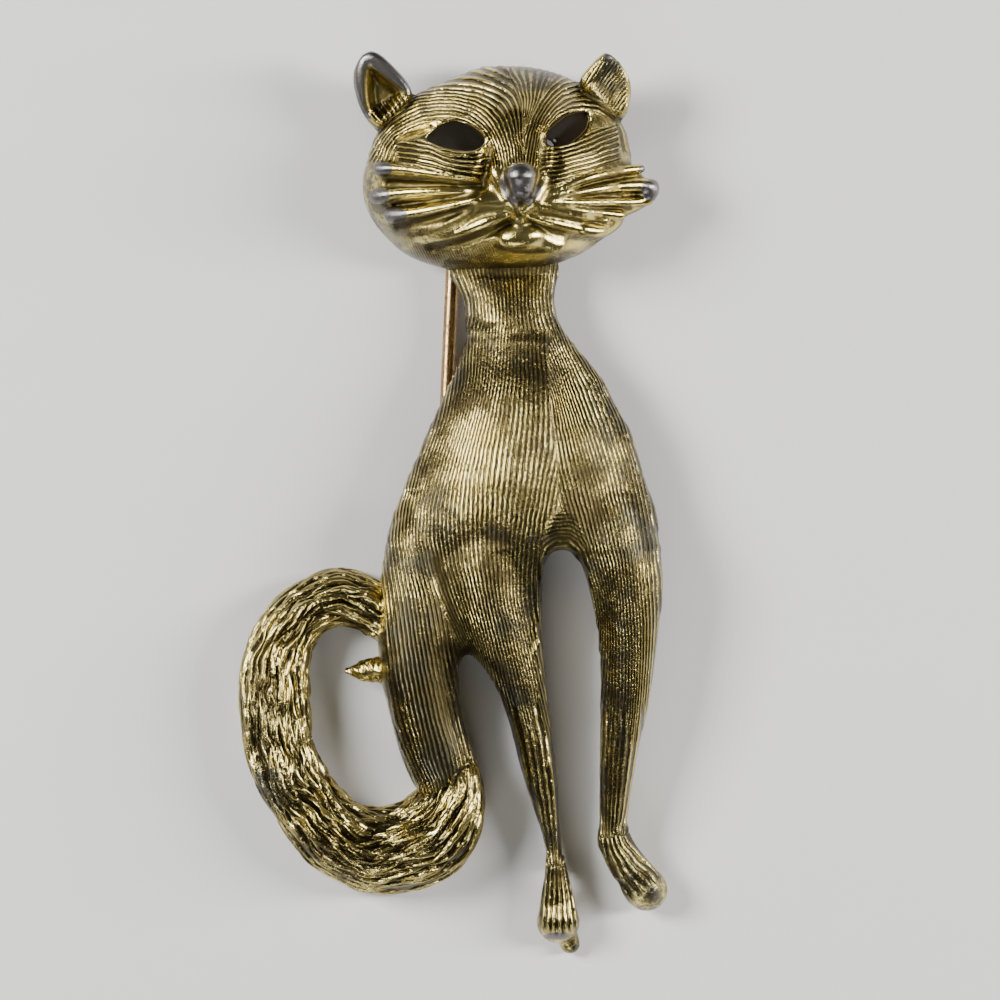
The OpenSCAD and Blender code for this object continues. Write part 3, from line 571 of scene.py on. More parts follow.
def along_form(block, rows, y0, length, x0, width, height, inset=0.0):
    """A form laid down the brooch, or with an inset the hollow inside it."""
    table = smooth_rows(rows)

    def shape(x, y, z):
        at = np.clip((y0 - y) / length, table[0, 0], table[-1, 0])
        mid = x0 + column(table, at, 1) * BODY_W
        half = column(table, at, 2) * width / 2 - inset
        foot = column(table, at, 3) * RIM
        top = column(table, at, 4) * height - inset
        d = section_field(block, x - mid, half, half, foot, top, z)
        return closed_dome(d, np.maximum(y - y_high, y_low - y), half, foot, top, z, inset)

    y_low, y_high = y0 - table[-1, 0] * length, y0 - table[0, 0] * length
    mids = x0 + table[:, 1] * BODY_W
    margin = 2.6
    reach = (table[:, 2] * width / 2).max() + margin
    return (shape, (mids.min() - reach, y_low - margin, -1),
            (mids.max() + reach, y_high + margin, height + 1.5))


def head_form(block, lift=None, inset=0.0):
    """The head's dome, with the face's modelling on it if a lift is given."""
    table = smooth_rows(HEAD)

    def shape(x, y, z):
        at = np.clip((CROWN - y) / HEAD_L, 0, 1)
        left = column(table, at, 1) * HEAD_W - inset
        right = column(table, at, 2) * HEAD_W - inset
        top = column(table, at, 3) * HEAD_H - inset
        raised = 0.0 if lift is None else lift(x, y)
        d = section_field(block, x - HEAD_X, left, right, RIM, top, z, raised)
        return closed_dome(d, np.maximum(y - CROWN, JAW - y), np.minimum(left, right), RIM, top,
                           z, inset)

    return shape, (HEAD_X - 0.6 * HEAD_W, JAW - 1, -1), (HEAD_X + 0.6 * HEAD_W, CROWN + 1, 12.5)


def tail_place(x, y):
    """Angle round the curl in degrees, and the arm's length there."""
    angle = np.degrees(np.arctan2((y - CURL_Y) * 2 / CURL_L, (x - CURL_X) * 2 / CURL_W)) % 360
    a = np.radians(angle)
    return angle, np.hypot(CURL_W / 2 * np.cos(a), CURL_L / 2 * np.sin(a))


def tail_form(block, inset=0.0):
    """The tail's round back, bent round the curl."""
    table = smooth_rows(TAIL)

    def shape(x, y, z):
        angle, arm = tail_place(x, y)
        at = np.clip(angle, table[0, 0], table[-1, 0])
        out = np.hypot(x - CURL_X, y - CURL_Y) - column(table, at, 1) * arm
        half = column(table, at, 2) * TAIL_W / 2 - inset
        top = column(table, at, 3) * TAIL_H - inset
        d = section_field(block, out, half, half, 0.0, top, z, steady=False)
        ends = np.maximum(table[0, 0] - angle, angle - table[-1, 0]) * np.pi / 180 * arm
        return closed_dome(d, ends, half, 0.0, top, z, inset)

    return (shape, (CURL_X - 0.62 * CURL_W, CURL_Y - 0.62 * CURL_L, -1),
            (CURL_X + 0.62 * CURL_W, CURL_Y + 0.62 * CURL_L, TAIL_H + 1.5))


def face_z(right, down):
    """Height of the head's dome, at shares of its width and length."""
    table = np.array(HEAD)
    half = np.interp(down, table[:, 0], table[:, 1 if right < 0 else 2])
    top = np.interp(down, table[:, 0], table[:, 3]) * HEAD_H
    return RIM + (top - RIM) * max(1 - (abs(right) / half) ** FULL, 0.12) ** (1 / FULL)


def web_top(x):
    """Height of the web beside the right cheek, which falls to the whiskers' tip."""
    tip, tip_height, fall = under(655, 188, 5.5)[0], 5.15, 0.46
    return tip_height + fall * (tip - x)


def on_face(across, down, lift=0.0):
    """The point on the modelled face that shows at a place in the front view."""
    on_web = outline_distance(np.array(across), np.array(down), WEB) < 0
    z = FACE_GUESS
    for _ in range(4):
        x, y = under(across, down, z)
        z = face_z((x - HEAD_X) / HEAD_W, (CROWN - y) / HEAD_L) + float(face_lift(x, y))
        z = max(z, web_top(x) if on_web else 0) + lift
    return np.array([x, y, z])


def press_rod(block, points, radii, soft=0.1):
    """Round rods from point to point, with a radius at each."""
    for a, b, ra, rb in zip(points[:-1], points[1:], radii[:-1], radii[1:]):
        a, b = np.array(a, float), np.array(b, float)
        edge = b - a
        size = max(float(edge @ edge), 1e-9)

        def shape(x, y, z):
            t = np.clip(((x - a[0]) * edge[0] + (y - a[1]) * edge[1] + (z - a[2]) * edge[2])
                        / size, 0, 1)
            away = np.sqrt((x - a[0] - t * edge[0]) ** 2 + (y - a[1] - t * edge[1]) ** 2
                           + (z - a[2] - t * edge[2]) ** 2)
            return away - (ra + t * (rb - ra))

        room = max(ra, rb) + 1.0
        block.press(shape, np.minimum(a, b) - room, np.maximum(a, b) + room, soft)


def press_egg(block, at, sizes, turn, soft):
    """A rounded mound: half sizes across, down the brooch and in height."""
    c, s = math.cos(math.radians(turn)), math.sin(math.radians(turn))

    def shape(x, y, z):
        u, v = c * (x - at[0]) + s * (y - at[1]), -s * (x - at[0]) + c * (y - at[1])
        r = np.sqrt((u / sizes[0]) ** 2 + (v / sizes[1]) ** 2 + ((z - at[2]) / sizes[2]) ** 2)
        return (r - 1) * min(sizes)

    room = max(sizes) + 1
    block.press(shape, at - room, at + room, soft)


def smooth_line(points, cuts=4):
    """Points on a smooth line through the given ones."""
    return smooth_rows([[i, *p] for i, p in enumerate(points)], cuts)[:, 1:]


def placed_line(points, z):
    """A smooth line in mm through places in the front view, at height z."""
    return smooth_line([under(*p, z) for p in points])


def closed_line(points, z, cuts=4):
    """The same for a closed outline."""
    return placed_line([points[-1], *points, *points[:2]], z)[cuts:-cuts - 1]


def wall_distance(x, y, outline):
    """Signed distance to an upright wall on an outline, at a block's points."""
    return outline_distance(x[:, :, 0], y[:, :, 0], outline)[:, :, None]


def bar_form(width_left, width_right, along):
    """A flat bar across the open back, square to the pin."""
    turn = math.radians(-LEAN)
    c, s = math.cos(turn), math.sin(turn)

    def shape(x, y, z):
        dx, dy = x - HINGE[0], y - HINGE[1]
        u = c * dx + s * dy
        v = -s * dx + c * dy + along
        return np.maximum(np.maximum(np.abs(v) - BAR_W / 2, np.abs(z - RIM - BAR_T / 2)
                                     - BAR_T / 2), np.maximum(-width_left - u, u - width_right))

    return shape


def ear_form(rows, edge, cup_edge, deep):
    """An ear standing off the head, with its cup hollowed out of the front."""
    at = np.array([[HEAD_X + r[0] * HEAD_W, CROWN - r[1] * HEAD_L, r[3] * HEAD_H] for r in rows])
    radii = np.array([r[2] * EAR_L for r in rows])
    plane = np.linalg.lstsq(np.c_[at[:, :2], np.ones(5)], at[:, 2] + 0.55 * radii, rcond=None)[0]
    feet = np.array([[*at[0, :2], RIM], [*at[1, :2], RIM], [*at[3, :2], at[3, 2] - radii[3]]])
    below = np.linalg.solve(np.c_[feet[:, :2], np.ones(3)], feet[:, 2])
    outline, cup_outline = closed_line(edge, EAR_HEIGHT), closed_line(cup_edge, EAR_HEIGHT)

    def shape(x, y, z):
        inner = wall_distance(x, y, cup_outline)
        top = plane[0] * x + plane[1] * y + plane[2]
        floor = below[0] * x + below[1] * y + below[2]
        body = soft_max(soft_max(wall_distance(x, y, outline), z - top, 0.7), floor - z, 0.5)
        cup = soft_max(inner, top - deep * ease(-inner / 0.9) - z, 0.2)
        return soft_max(body, -cup, 0.22)

    low, high = outline.min(0) - 1, outline.max(0) + 1
    return shape, (*low, 0), (*high, 9.5)


# Soft mounds and creases on the face: a line in the front view, its half width there,
# and how far it stands out, mm
FACE_RELIEF = [
    ([(393, 134), (410, 120), (436, 111), (464, 114), (482, 127)], 8, 0.40),
    ([(546, 126), (560, 110), (580, 103), (600, 108), (612, 120)], 8, 0.40),
    ([(519, 95), (518, 130), (518, 162)], 12, 0.45),
    ([(490, 150), (486, 168), (482, 180)], 5, -0.55),
    ([(546, 145), (544, 165), (546, 184)], 5, -0.45),
    ([(420, 158), (445, 166), (465, 170)], 12, 0.35),
    ([(565, 160), (590, 153), (606, 148)], 13, 0.35),
    ([(430, 142), (442, 151), (456, 155), (470, 155), (481, 150)], 2.6, 0.16),
    ([(546, 128), (556, 117), (571, 111), (588, 109)], 2.6, 0.18),
    ([(395, 139), (410, 132), (430, 128)], 2.8, -0.40),
    ([(390, 183), (420, 185), (460, 187), (482, 187)], 5.5, -0.62),
    ([(394, 205), (430, 199), (466, 196)], 4.5, -0.56),
    ([(398, 224), (430, 219), (466, 209)], 5, -0.55),
    ([(630, 178), (604, 182), (578, 189)], 4.5, -0.45),
    ([(632, 193), (604, 194), (578, 197)], 4, -0.42),
    ([(466, 207), (484, 205), (504, 206)], 9, 0.50),
    ([(538, 207), (560, 210), (582, 216)], 9, 0.50),
    ([(509, 224), (486, 234), (460, 243), (432, 246)], 5, -0.80),
    ([(533, 226), (556, 236), (590, 241)], 5, -0.75),
    ([(519, 198), (520, 206), (520, 214)], 3, -0.70),
    ([(440, 252), (470, 246), (500, 250)], 8, -0.30)]


def face_lift(x, y):
    """How far the face's modelling stands out of its dome at each place."""
    shrink = 1 - FACE_HEIGHT / EYE_HEIGHT
    across = MIDDLE + ((ORIGIN[0] + x / STEP) - MIDDLE) / shrink
    down = MIDDLE + ((ORIGIN[1] - y / STEP) - MIDDLE) / shrink
    total = np.zeros(np.broadcast(x, y).shape, np.float32)
    for line, wide, tall in FACE_RELIEF:
        total += tall * np.exp(-(line_distance(across, down, line) / wide) ** 2)
    return total


# The web that joins the right whiskers past the cheek, in the front view
WEB = [
    (585, 172), (612, 167), (634, 165.5), (641, 168), (643, 174), (650, 179), (657, 183),
    (660, 189.5), (656, 197), (641, 208), (626, 215.5), (621, 225), (606, 236), (588, 236),
    (575, 222)]


def cheek_web(block):
    """Metal between the right whiskers, out to their common tip."""
    outline = placed_line(WEB, WEB_HEIGHT)
    thick, rounding = 2.6, 0.9

    def shape(x, y, z):
        top = web_top(x) + 0 * y
        return soft_max(soft_max(wall_distance(x, y, outline), z - top, rounding),
                        top - thick - z, rounding)

    low, high = outline.min(0) - 1, outline.max(0) + 1
    block.press(shape, (*low, 1.7), (*high, 9), 0.3)


def arch(inset):
    """The gap between the forelegs, as something to carve."""
    outline = placed_line(ARCH, ARCH_HEIGHT)

    def shape(x, y, z):
        return wall_distance(x, y, outline) - inset + 0 * z

    low, high = outline.min(0) - 2, outline.max(0) + 2
    return shape, (*low, -1), (*high, 12)


# Forms laid down the brooch: sections, upper end, length, middle, width, height
FORMS = {
    "neck": (NECK, JAW, NECK_L, BODY_X, NECK_W, CHEST_H),
    "trunk": (TRUNK, SHOULDER, BODY_L, BODY_X, BODY_W, CHEST_H),
    "left leg": (LEFT_LEG, HIP, LEG_L, BODY_X, LEFT_LEG_W, CHEST_H),
    "right leg": (RIGHT_LEG, HIP, LEG_L, BODY_X, RIGHT_LEG_W, CHEST_H),
    "haunch": (HAUNCH, CROTCH - HAUNCH_RISE, HAUNCH_L, HAUNCH_X, HAUNCH_W, HAUNCH_H)}


def open_back(block):
    """Takes the open back's hollow out of a block, and gives the distance to it."""
    space = Block(block.low, [a[-1] for a in block.axes], block.pitch)
    space.axes, space.field = block.axes, np.full_like(block.field, FAR)
    insides = [along_form(space, *form, WALL) for form in FORMS.values()]
    for shape, low, high in (head_form(space, inset=WALL), *insides, tail_form(space, WALL)):
        space.press(shape, low, high, 0.3)
    space.carve(*arch(WALL))
    block.field = soft_max(block.field, -space.field, RIM_FILLET)
    return space.field


def add_bar(block, cut, solid, bar):
    """A bar across the open back, which ends under the skin."""
    block.field[cut] = soft_min(block.field[cut], np.maximum(solid, bar), BAR_FILLET)


def sculpt_head(pitch):
    """The head: its block, the distance to its hollow, and its dome before anything stands up."""
    block = Block(*HEAD_BOX, pitch)
    solid, low, high = head_form(block, face_lift)
    block.press(solid, low, high)
    press_rod(block, [on_face(516, 122, -1.15), on_face(521, 165, -0.75)], [1.2, 1.0], 0.8)
    dome = block.field.copy()
    # the chin, the web, the muzzle's lines and whiskers, the whiskers' tip and the nose
    press_egg(block, on_face(520, 236.5, 0.06), (1.62, 0.98, 0.80), 8, 0.25)
    press_egg(block, on_face(543, 241, -0.36), (1.75, 1.00, 0.78), -8, 0.9)
    cheek_web(block)
    for rods, soft in ((NOSE_SIDES, 0.35), (FINE_RIDGES, 0.08), (WHISKERS, 0.10), (LIPS, 0.12)):
        for rod in map(smooth_line, rods):
            press_rod(block, [on_face(p[0], p[1], p[3]) for p in rod], rod[:, 2], soft)
    press_egg(block, on_face(648.5, 191.5, 0.02), (1.00, 0.74, 0.62), 57, 0.2)
    press_rod(block, [on_face(520.4, 177, 0.10), on_face(521.2, 188, 0.16),
                      on_face(522, 203, 0.10)], [1.22, 0.88, 0.26], 0.3)
    for ear in ((LEFT_EAR, LEFT_EAR_EDGE, LEFT_EAR_CUP, 0.6 * EAR_CUP),
                (RIGHT_EAR, RIGHT_EAR_EDGE, RIGHT_EAR_CUP, 0.45)):
        block.press(*ear_form(*ear), 0.3)
    hollow = open_back(block)
    for eye, lean in zip(EYES, EYE_LEAN):
        pierce_eye(block, closed_line(eye, EYE_RIM), lean)
    cut, x, y, z = block.window(low, high)
    add_bar(block, cut, solid(x, y, z), bar_form(HEAD_W, HEAD_W, 0)(x, y, z))
    return block, hollow, dome


def pierce_eye(block, outline, lean):
    """The eye's opening, which shifts as it goes down, so that a wall shows in it."""
    def shape(x, y, z):
        depth = np.clip(lean[2] - z, 0, 1.6)
        return np.maximum(wall_distance(x, y, outline), outline_distance(
            x - lean[0] * depth, y - lean[1] * depth, outline))

    low, high = outline.min(0) - 1, outline.max(0) + 1
    block.carve(shape, (*low, 2), (*high, 12), 0.14)


def sculpt_body(pitch):
    """Neck, trunk, legs, paws and haunch, as one block."""
    block = Block(*BODY_BOX, pitch)
    for name, soft in (("trunk", 0.0), ("neck", 1.6), ("left leg", 2.2), ("right leg", 2.2),
                       ("haunch", 1.6)):
        block.press(*along_form(block, *FORMS[name]), soft, angled=True)
        if name == "trunk":
            block.carve(*arch(0), 0.5)
    sculpt_paws(block)
    solid = block.field.copy()
    hollow = open_back(block)
    bar = bar_form(0.24 * BODY_W, 0.5 * BODY_W, CATCH_AT)
    cut, x, y, z = block.window((-8, -12, 0), (17, 0, 6))
    add_bar(block, cut, solid[cut], bar(x, y, z))
    return block, hollow, solid


def sculpt_paws(block):
    """Each paw: a rod down from the shin, a rounded toe end, and the left one's spur."""
    fat = PAW_W
    bottom = ANKLE - PAW_L
    left = np.array([BODY_X + 0.113 * BODY_W, ANKLE, 0.34 * CHEST_H])
    toe = np.array([left[0] + 0.2, bottom + fat / 2, fat / 2])
    press_rod(block, [left, toe + [0, 0.15, 0.35]], [0.095 * LEFT_LEG_W, fat / 2], 0.4)
    press_rod(block, [toe, toe + [0, 0.3, 0.7]], [fat / 2, 0.45 * fat], 0.3)
    press_rod(block, [[toe[0] + 0.29 * fat, bottom - 0.16, 0.76],
                      [toe[0] + 0.1 * fat, bottom + fat / 2, 1]], [0.74, 0.9], 0.25)
    right = np.array([BODY_X + 0.325 * BODY_W, ANKLE + 0.08 * LEG_L, 0.32 * CHEST_H])
    far = np.array([right[0] + 0.4 * PAW_L, ANKLE - 0.36 * PAW_L, fat / 2])
    press_rod(block, [right, far + [-0.2, 0.2, 0.35]], [0.21 * RIGHT_LEG_W, fat / 2], 0.9)
    press_rod(block, [far, far + [-0.4, 0.4, 0.7]], [fat / 2, 0.47 * fat], 0.3)


def sculpt_tail(pitch):
    """The tail's curl, with the spur of its tip showing inside."""
    block = Block(*TAIL_BOX, pitch)
    block.press(*tail_form(block))
    tip = [CURL_X - 0.11 * CURL_W / 2, CURL_Y + 0.376 * CURL_L / 2, 2.4]
    root = [HAUNCH_X - 0.40 * HAUNCH_W, CURL_Y + 0.38 * CURL_L / 2, 2.6]
    belly = [0.55 * t + 0.45 * r for t, r in zip(tip, root)]
    press_rod(block, [tip, belly, root], [0.26, 0.78, 1.15], 0.2)
    solid = block.field.copy()
    return block, open_back(block), solid


def box_blur(values, steps):
    """Mean of values over a cube of neighbours."""
    out = values
    for axis in range(3):
        pad = [(0, 0)] * 3
        pad[axis] = (steps + 1, steps)
        total = np.cumsum(np.pad(out, pad, mode="edge"), axis=axis, dtype=np.float64)
        n = 2 * steps + 1
        ahead = [slice(None)] * 3
        behind = [slice(None)] * 3
        ahead[axis] = slice(n, None)
        behind[axis] = slice(0, -n)
        out = ((total[tuple(ahead)] - total[tuple(behind)]) / n).astype(np.float32)
    return out


def read_at(field, block, points):
    """A field's value at points, by linear interpolation."""
    p = (points - block.low) / block.pitch
    size = np.array(field.shape) - 2
    base = np.clip(np.floor(p).astype(int), 0, size)
    t = np.clip(p - base, 0, 1)
    out = np.zeros(len(points))
    for corner in range(8):
        pick = [(corner >> k) & 1 for k in range(3)]
        weight = np.ones(len(points))
        for k in range(3):
            weight = weight * (t[:, k] if pick[k] else 1 - t[:, k])
        out += weight * field[base[:, 0] + pick[0], base[:, 1] + pick[1], base[:, 2] + pick[2]]
    return out


def skin(block, name):
    """The closed mesh at the field's zero, in metres."""
    grid = openvdb.FloatGrid(FAR)
    grid.copyFromArray(np.ascontiguousarray(block.field))
    points, triangles, quads = grid.convertToPolygons(isovalue=0.0, adaptivity=0.0)
    points = points * block.pitch + block.low
    mesh = bpy.data.meshes.new(name)
    faces = [tuple(q) for q in quads.tolist()] + [tuple(t) for t in triangles.tolist()]
    mesh.from_pydata((points * MM).tolist(), [], faces)
    mesh.update()
    bm = bmesh.new()
    bm.from_mesh(mesh)
    if bm.calc_volume(signed=True) < 0:
        bmesh.ops.reverse_faces(bm, faces=bm.faces)
    bm.to_mesh(mesh)
    bm.free()
    return mesh


def numbers(items, key, size):
    """What every item of a mesh says, as rows of so many numbers."""
    flat = np.empty(len(items) * size, np.float32)
    items.foreach_get(key, flat)
    return flat.reshape(-1, size)


def mesh_points(mesh):
    """The mesh's points in mm."""
    return numbers(mesh.vertices, "co", 3).astype(float) / MM


def mesh_normals(mesh):
    """The way that the skin faces at each point."""
    return numbers(mesh.vertex_normals, "vector", 3).astype(float)


def store(mesh, name, values):
    """Keeps a number for each point under a name."""
    layer = mesh.attributes.get(name) or mesh.attributes.new(name, "FLOAT", "POINT")
    layer.data.foreach_set("value", np.asarray(values, np.float32))


def through(mesh, name, kind, prepare):
    """What one modifier, once prepared, makes of a mesh: a plain mesh."""
    obj = bpy.data.objects.new(name, mesh)
    bpy.context.scene.collection.objects.link(obj)
    prepare(obj, obj.modifiers.new("worker", kind))
    graph = bpy.context.evaluated_depsgraph_get()
    graph.update()
    out = bpy.data.meshes.new_from_object(obj.evaluated_get(graph), depsgraph=graph)
    out.name = name
    bpy.data.objects.remove(obj)
    return out


def thin_inside(mesh, inner, keep):
    """Fewer faces on the hollow's side, where nothing is chased."""
    def prepare(obj, thin):
        group = obj.vertex_groups.new(name="inner")
        group.add(np.nonzero(inner)[0].tolist(), 1.0, "REPLACE")
        thin.vertex_group = "inner"
        thin.ratio = 1 - (1 - keep) * float(inner.mean())

    return through(mesh, mesh.name, "DECIMATE", prepare)


def within(mesh, most):
    """A mesh whose flattest faces are merged until it has no more than so many triangles."""
    def prepare(obj, thin):
        thin.ratio = most / count

    mesh.calc_loop_triangles()
    count = len(mesh.loop_triangles)
    return through(mesh, mesh.name, "DECIMATE", prepare) if count > most else mesh


def spline_surface(guides):
    """A smooth surface through guide lines: its levels are the ribs."""
    places, levels = [], []
    for level, *line in guides:
        pts = np.array(line, float)
        for p, q in zip(pts[:-1], pts[1:]):
            for t in (0.0, 0.5):
                places.append(p + t * (q - p))
                levels.append(level)
        places.append(pts[-1])
        levels.append(level)
    places, levels = np.array(places), np.array(levels, float)
    middle, span = places.mean(0), 100.0
    places = (places - middle) / span
    n = len(places)

    def kernel(a, b):
        r2 = ((a[:, None, :] - b[None, :, :]) ** 2).sum(2) + 1e-12
        return 0.5 * r2 * np.log(r2)

    system = np.zeros((n + 3, n + 3))
    system[:n, :n] = kernel(places, places) + SLACK * np.eye(n)
    system[:n, n:] = np.c_[np.ones(n), places]
    system[n:, :n] = system[:n, n:].T
    weights = np.linalg.solve(system, np.concatenate([levels, np.zeros(3)]))

    def level_at(across, down):
        out = np.empty(len(across))
        for start in range(0, len(across), AT_ONCE):
            part = slice(start, start + AT_ONCE)
            q = (np.c_[across[part], down[part]] - middle) / span
            out[part] = kernel(q, places) @ weights[:n] + np.c_[np.ones(len(q)), q] @ weights[n:]
        return out

    return level_at


def comb(mesh, zones, outer, shares):
    """Rib count and depth of each layer at every point, from the zones."""
    points = mesh_points(mesh)
    across, down = seen(points)
    for layer in LAYERS:
        turns = np.zeros(len(points))
        depth = np.zeros(len(points))
        for (own, guides, finer, outline, feather, deep), share in zip(zones, shares):
            if own != layer:
                continue
            inside = ease(0.5 - outline_distance(across, down, outline) / (2 * feather)) * share
            use = inside > depth / max(deep, 0.01)
            turns[use] = spline_surface(guides)(across[use], down[use]) * finer
            depth[use] = inside[use] * deep
        store(mesh, "turns_" + layer, turns)
        store(mesh, "depth_" + layer, depth * outer)


def patches(across, down, spots):
    """Soft patches in the front view: across, down, half sizes, strength."""
    total = np.zeros(len(across))
    for cx, cy, rx, ry, strength in spots:
        r = np.hypot((across - cx) / rx, (down - cy) / ry)
        total = np.maximum(total, strength * ease(1.35 - r))
    return total


# Brown film and painted shade on each piece: across, down, half sizes, strength; and painted
# highlights, where the film is taken off so that the gilding shines
TARNISH_AND_SHADE = [
    (535, 78, 60, 15, 0.95), (590, 104, 44, 16, 0.5), (612, 140, 18, 50, 0.6),
    (492, 566, 18, 56, 1.0), (500, 640, 16, 60, 0.9), (585, 510, 34, 60, 1.0),
    (645, 520, 24, 80, 0.95), (405, 640, 20, 50, 0.8), (436, 640, 22, 60, 1.0),
    (440, 740, 36, 56, 1.1), (440, 560, 40, 40, 0.9), (530, 348, 34, 26, 1.0),
    (485, 350, 20, 14, 0.6), (470, 400, 40, 20, 0.85), (505, 290, 70, 26, 0.6),
    (395, 236, 40, 26, 1.0), (440, 256, 80, 12, 0.75), (505, 540, 60, 20, 0.8),
    (560, 256, 60, 10, 0.6), (268, 790, 26, 34, 1.0), (300, 850, 40, 24, 0.9),
    (612, 680, 16, 90, 0.7), (530, 780, 16, 60, 0.5), (535, 460, 14, 60, 0.8),
    (530, 430, 40, 70, 0.6), (372, 200, 14, 50, 0.8), (385, 235, 40, 22, 0.8),
    (262, 700, 30, 70, 0.6), (340, 868, 60, 22, 0.65), (420, 850, 40, 26, 0.5),
    (430, 690, 38, 90, 1.1), (404, 650, 26, 80, 1.1), (612, 76, 22, 30, 0.8),
    (573, 946, 12, 8, 1.0), (380, 220, 24, 46, 0.9), (425, 255, 60, 14, 1.0),
    (512, 720, 9, 60, 1.0), (622, 700, 7, 110, 1.0)]
PAINTED_HIGHLIGHTS = [
    (478, 470, 30, 60, 1.0), (572, 420, 18, 60, 0.7), (540, 505, 14, 30, 0.8),
    (403, 500, 14, 60, 0.7), (436, 150, 60, 40, 1.0), (521, 250, 50, 12, 0.5),
    (538, 650, 9, 40, 1.0), (544, 705, 9, 40, 1.0), (552, 765, 8, 44, 1.0), (648, 640, 9, 40, 1.0),
    (644, 690, 9, 40, 1.0), (637, 745, 9, 36, 1.0), (627, 795, 8, 30, 1.0),
    (560, 905, 20, 30, 0.9), (382, 620, 7, 60, 1.0)]
WORN = [
    (521, 184, 24, 28, 1.0), (381, 169, 13, 9, 1.0), (379, 196, 13, 9, 1.0),
    (395, 215, 15, 9, 1.0), (652, 190, 13, 12, 1.0), (644, 169, 8, 5, 0.7)]
# rubbed places on what is not raised off the dome: the paws' ends
RUBBED = [
    (558, 936, 20, 6, 0.65), (660, 896, 13, 13, 0.42)]
# worn bands, as outlines: the left ear's rim, the right ear's tip
WORN_EDGES = [
    ([(369, 48), (384, 54), (413, 86), (414, 96), (404, 92), (386, 76), (371, 65), (366, 67),
     (364, 90), (366, 108), (372, 120), (362, 116), (350, 84), (352, 60)], 0.95),
    ([(602, 50), (618, 51), (617, 58), (606, 59)], 0.8)]
# painted shade in creases, between the whiskers, beside the nose and under the chin: a line in the
# front view, its half width, strength
CREASE_SHADE = [
    ([(386, 179), (420, 180), (452, 183), (480, 187)], 4.6, 1.0),
    ([(390, 204.5), (425, 200.5), (455, 197), (476, 194.5)], 4.0, 1.0),
    ([(398, 224), (430, 220), (466, 210), (500, 206)], 6, 0.95),
    ([(410, 236), (440, 228), (470, 216), (500, 210)], 4, 0.7),
    ([(428, 247), (460, 240), (490, 230), (512, 222)], 4.2, 0.9),
    ([(400, 162), (430, 165), (462, 172)], 2.2, 0.4),
    ([(570, 185), (600, 179), (634, 173)], 3, 0.8),
    ([(562, 196), (600, 194.6), (640, 193)], 3, 0.9),
    ([(560, 207), (596, 208), (630, 208)], 3.2, 0.9),
    ([(540, 213), (570, 219), (604, 224)], 3, 0.8), ([(540, 230), (566, 236), (600, 240)], 4, 0.6),
    ([(505, 168), (506, 182), (511, 196)], 3, 0.8), ([(539, 168), (537, 184), (531, 198)], 3, 0.8),
    ([(516, 210), (520, 218), (519, 226)], 3, 0.9), ([(496, 246), (515, 251), (545, 251)], 3, 0.8),
    ([(505, 232), (512, 230), (520, 229)], 4, 0.7),
    ([(366, 70), (364.5, 90), (367, 108)], 3.4, 0.95),
    ([(368, 67), (384, 77), (402, 91)], 2.6, 0.9), ([(449, 266), (505, 270), (560, 264)], 8, 0.75),
    ([(552, 545), (566, 538), (582, 548)], 10, 0.7),
    ([(548, 490), (560, 520), (574, 536)], 7, 0.5),
    ([(436, 560), (448, 600), (462, 640)], 5, 0.85),
    ([(455, 640), (458, 700), (468, 745)], 4, 0.6), ([(414, 800), (440, 786), (470, 756)], 4, 0.5),
    ([(466, 322), (484, 326), (500, 324)], 3, 0.6), ([(604, 800), (608, 840), (620, 872)], 4, 0.7),
    ([(556, 850), (560, 872), (558, 884)], 6, 0.7), ([(356, 100), (366, 122), (382, 132)], 4, 0.6),
    ([(584, 96), (600, 112), (622, 122)], 3.5, 0.6)]


def dress_points(mesh, block, dome, zones, raised_zones, film_and_shade, side_shade):
    """Every attribute that the chasing and the gilding read."""
    points = mesh_points(mesh)
    normals = mesh_normals(mesh)
    across, down = seen(points)
    # the hollow's walls lie well under the outer skin
    depth = read_at(dome, block, points)
    raised = ease((depth - 0.10) / 0.25)
    skin_side = ease((depth + 0.75) / 0.4)
    outer = skin_side * ease((normals[:, 2] + 0.55) / 0.4)
    # painted shade: the eyes' walls and the hollow behind the openings are painted near black, for
    # the shadow inside the head
    pit = np.zeros(len(points))
    for eye in EYES:
        eye_distance = outline_distance(across, down, eye)
        wall = 1 - ease(0.8 + eye_distance / 3)
        outer *= 1 - wall
        pit = np.maximum(pit, np.maximum(wall, (1 - skin_side) * ease(1.6 - eye_distance / 25)))
    store(mesh, "pit", pit)
    # how much metal is close by: little on crests and edges, much in creases, where the gilding
    # paints shade
    solid = (block.field < 0).astype(np.float32)
    near = read_at(box_blur(solid, max(1, round(0.45 / block.pitch))), block, points)
    wide = read_at(box_blur(solid, max(1, round(1.2 / block.pitch))), block, points)
    store(mesh, "cavity", np.clip(0.5 + (near - 0.5) * 1.6 + (wide - 0.45) * 0.8, 0, 1))
    store(mesh, "outer", outer)
    # painted shade: the sides darken as they turn away from above
    film_and_shade = np.maximum(film_and_shade, side_shade * ease((0.55 - normals[:, 2]) / 0.5))
    # painted highlights take the film away
    film_and_shade = film_and_shade * (1 - patches(across, down, PAINTED_HIGHLIGHTS))
    # brown film and painted shade, kept together
    store(mesh, "tarnish", np.maximum(patches(across, down, TARNISH_AND_SHADE), film_and_shade) * outer)
    # painted shade along the crease lines
    grime = np.zeros(len(points))
    for line, wide, strength in CREASE_SHADE:
        grime = np.maximum(grime, strength * ease(1.5 - line_distance(across, down, line) / wide))
    store(mesh, "grime", grime * outer)
    worn = np.maximum(patches(across, down, WORN) * raised, patches(across, down, RUBBED))
    for outline, strength in WORN_EDGES:
        worn = np.maximum(worn, strength * ease(0.5 - outline_distance(across, down, outline) / 3))
    store(mesh, "worn", worn * outer)
    comb(mesh, zones + raised_zones, outer, [1 - raised] * len(zones)
         + [raised] * len(raised_zones))


# Node trees

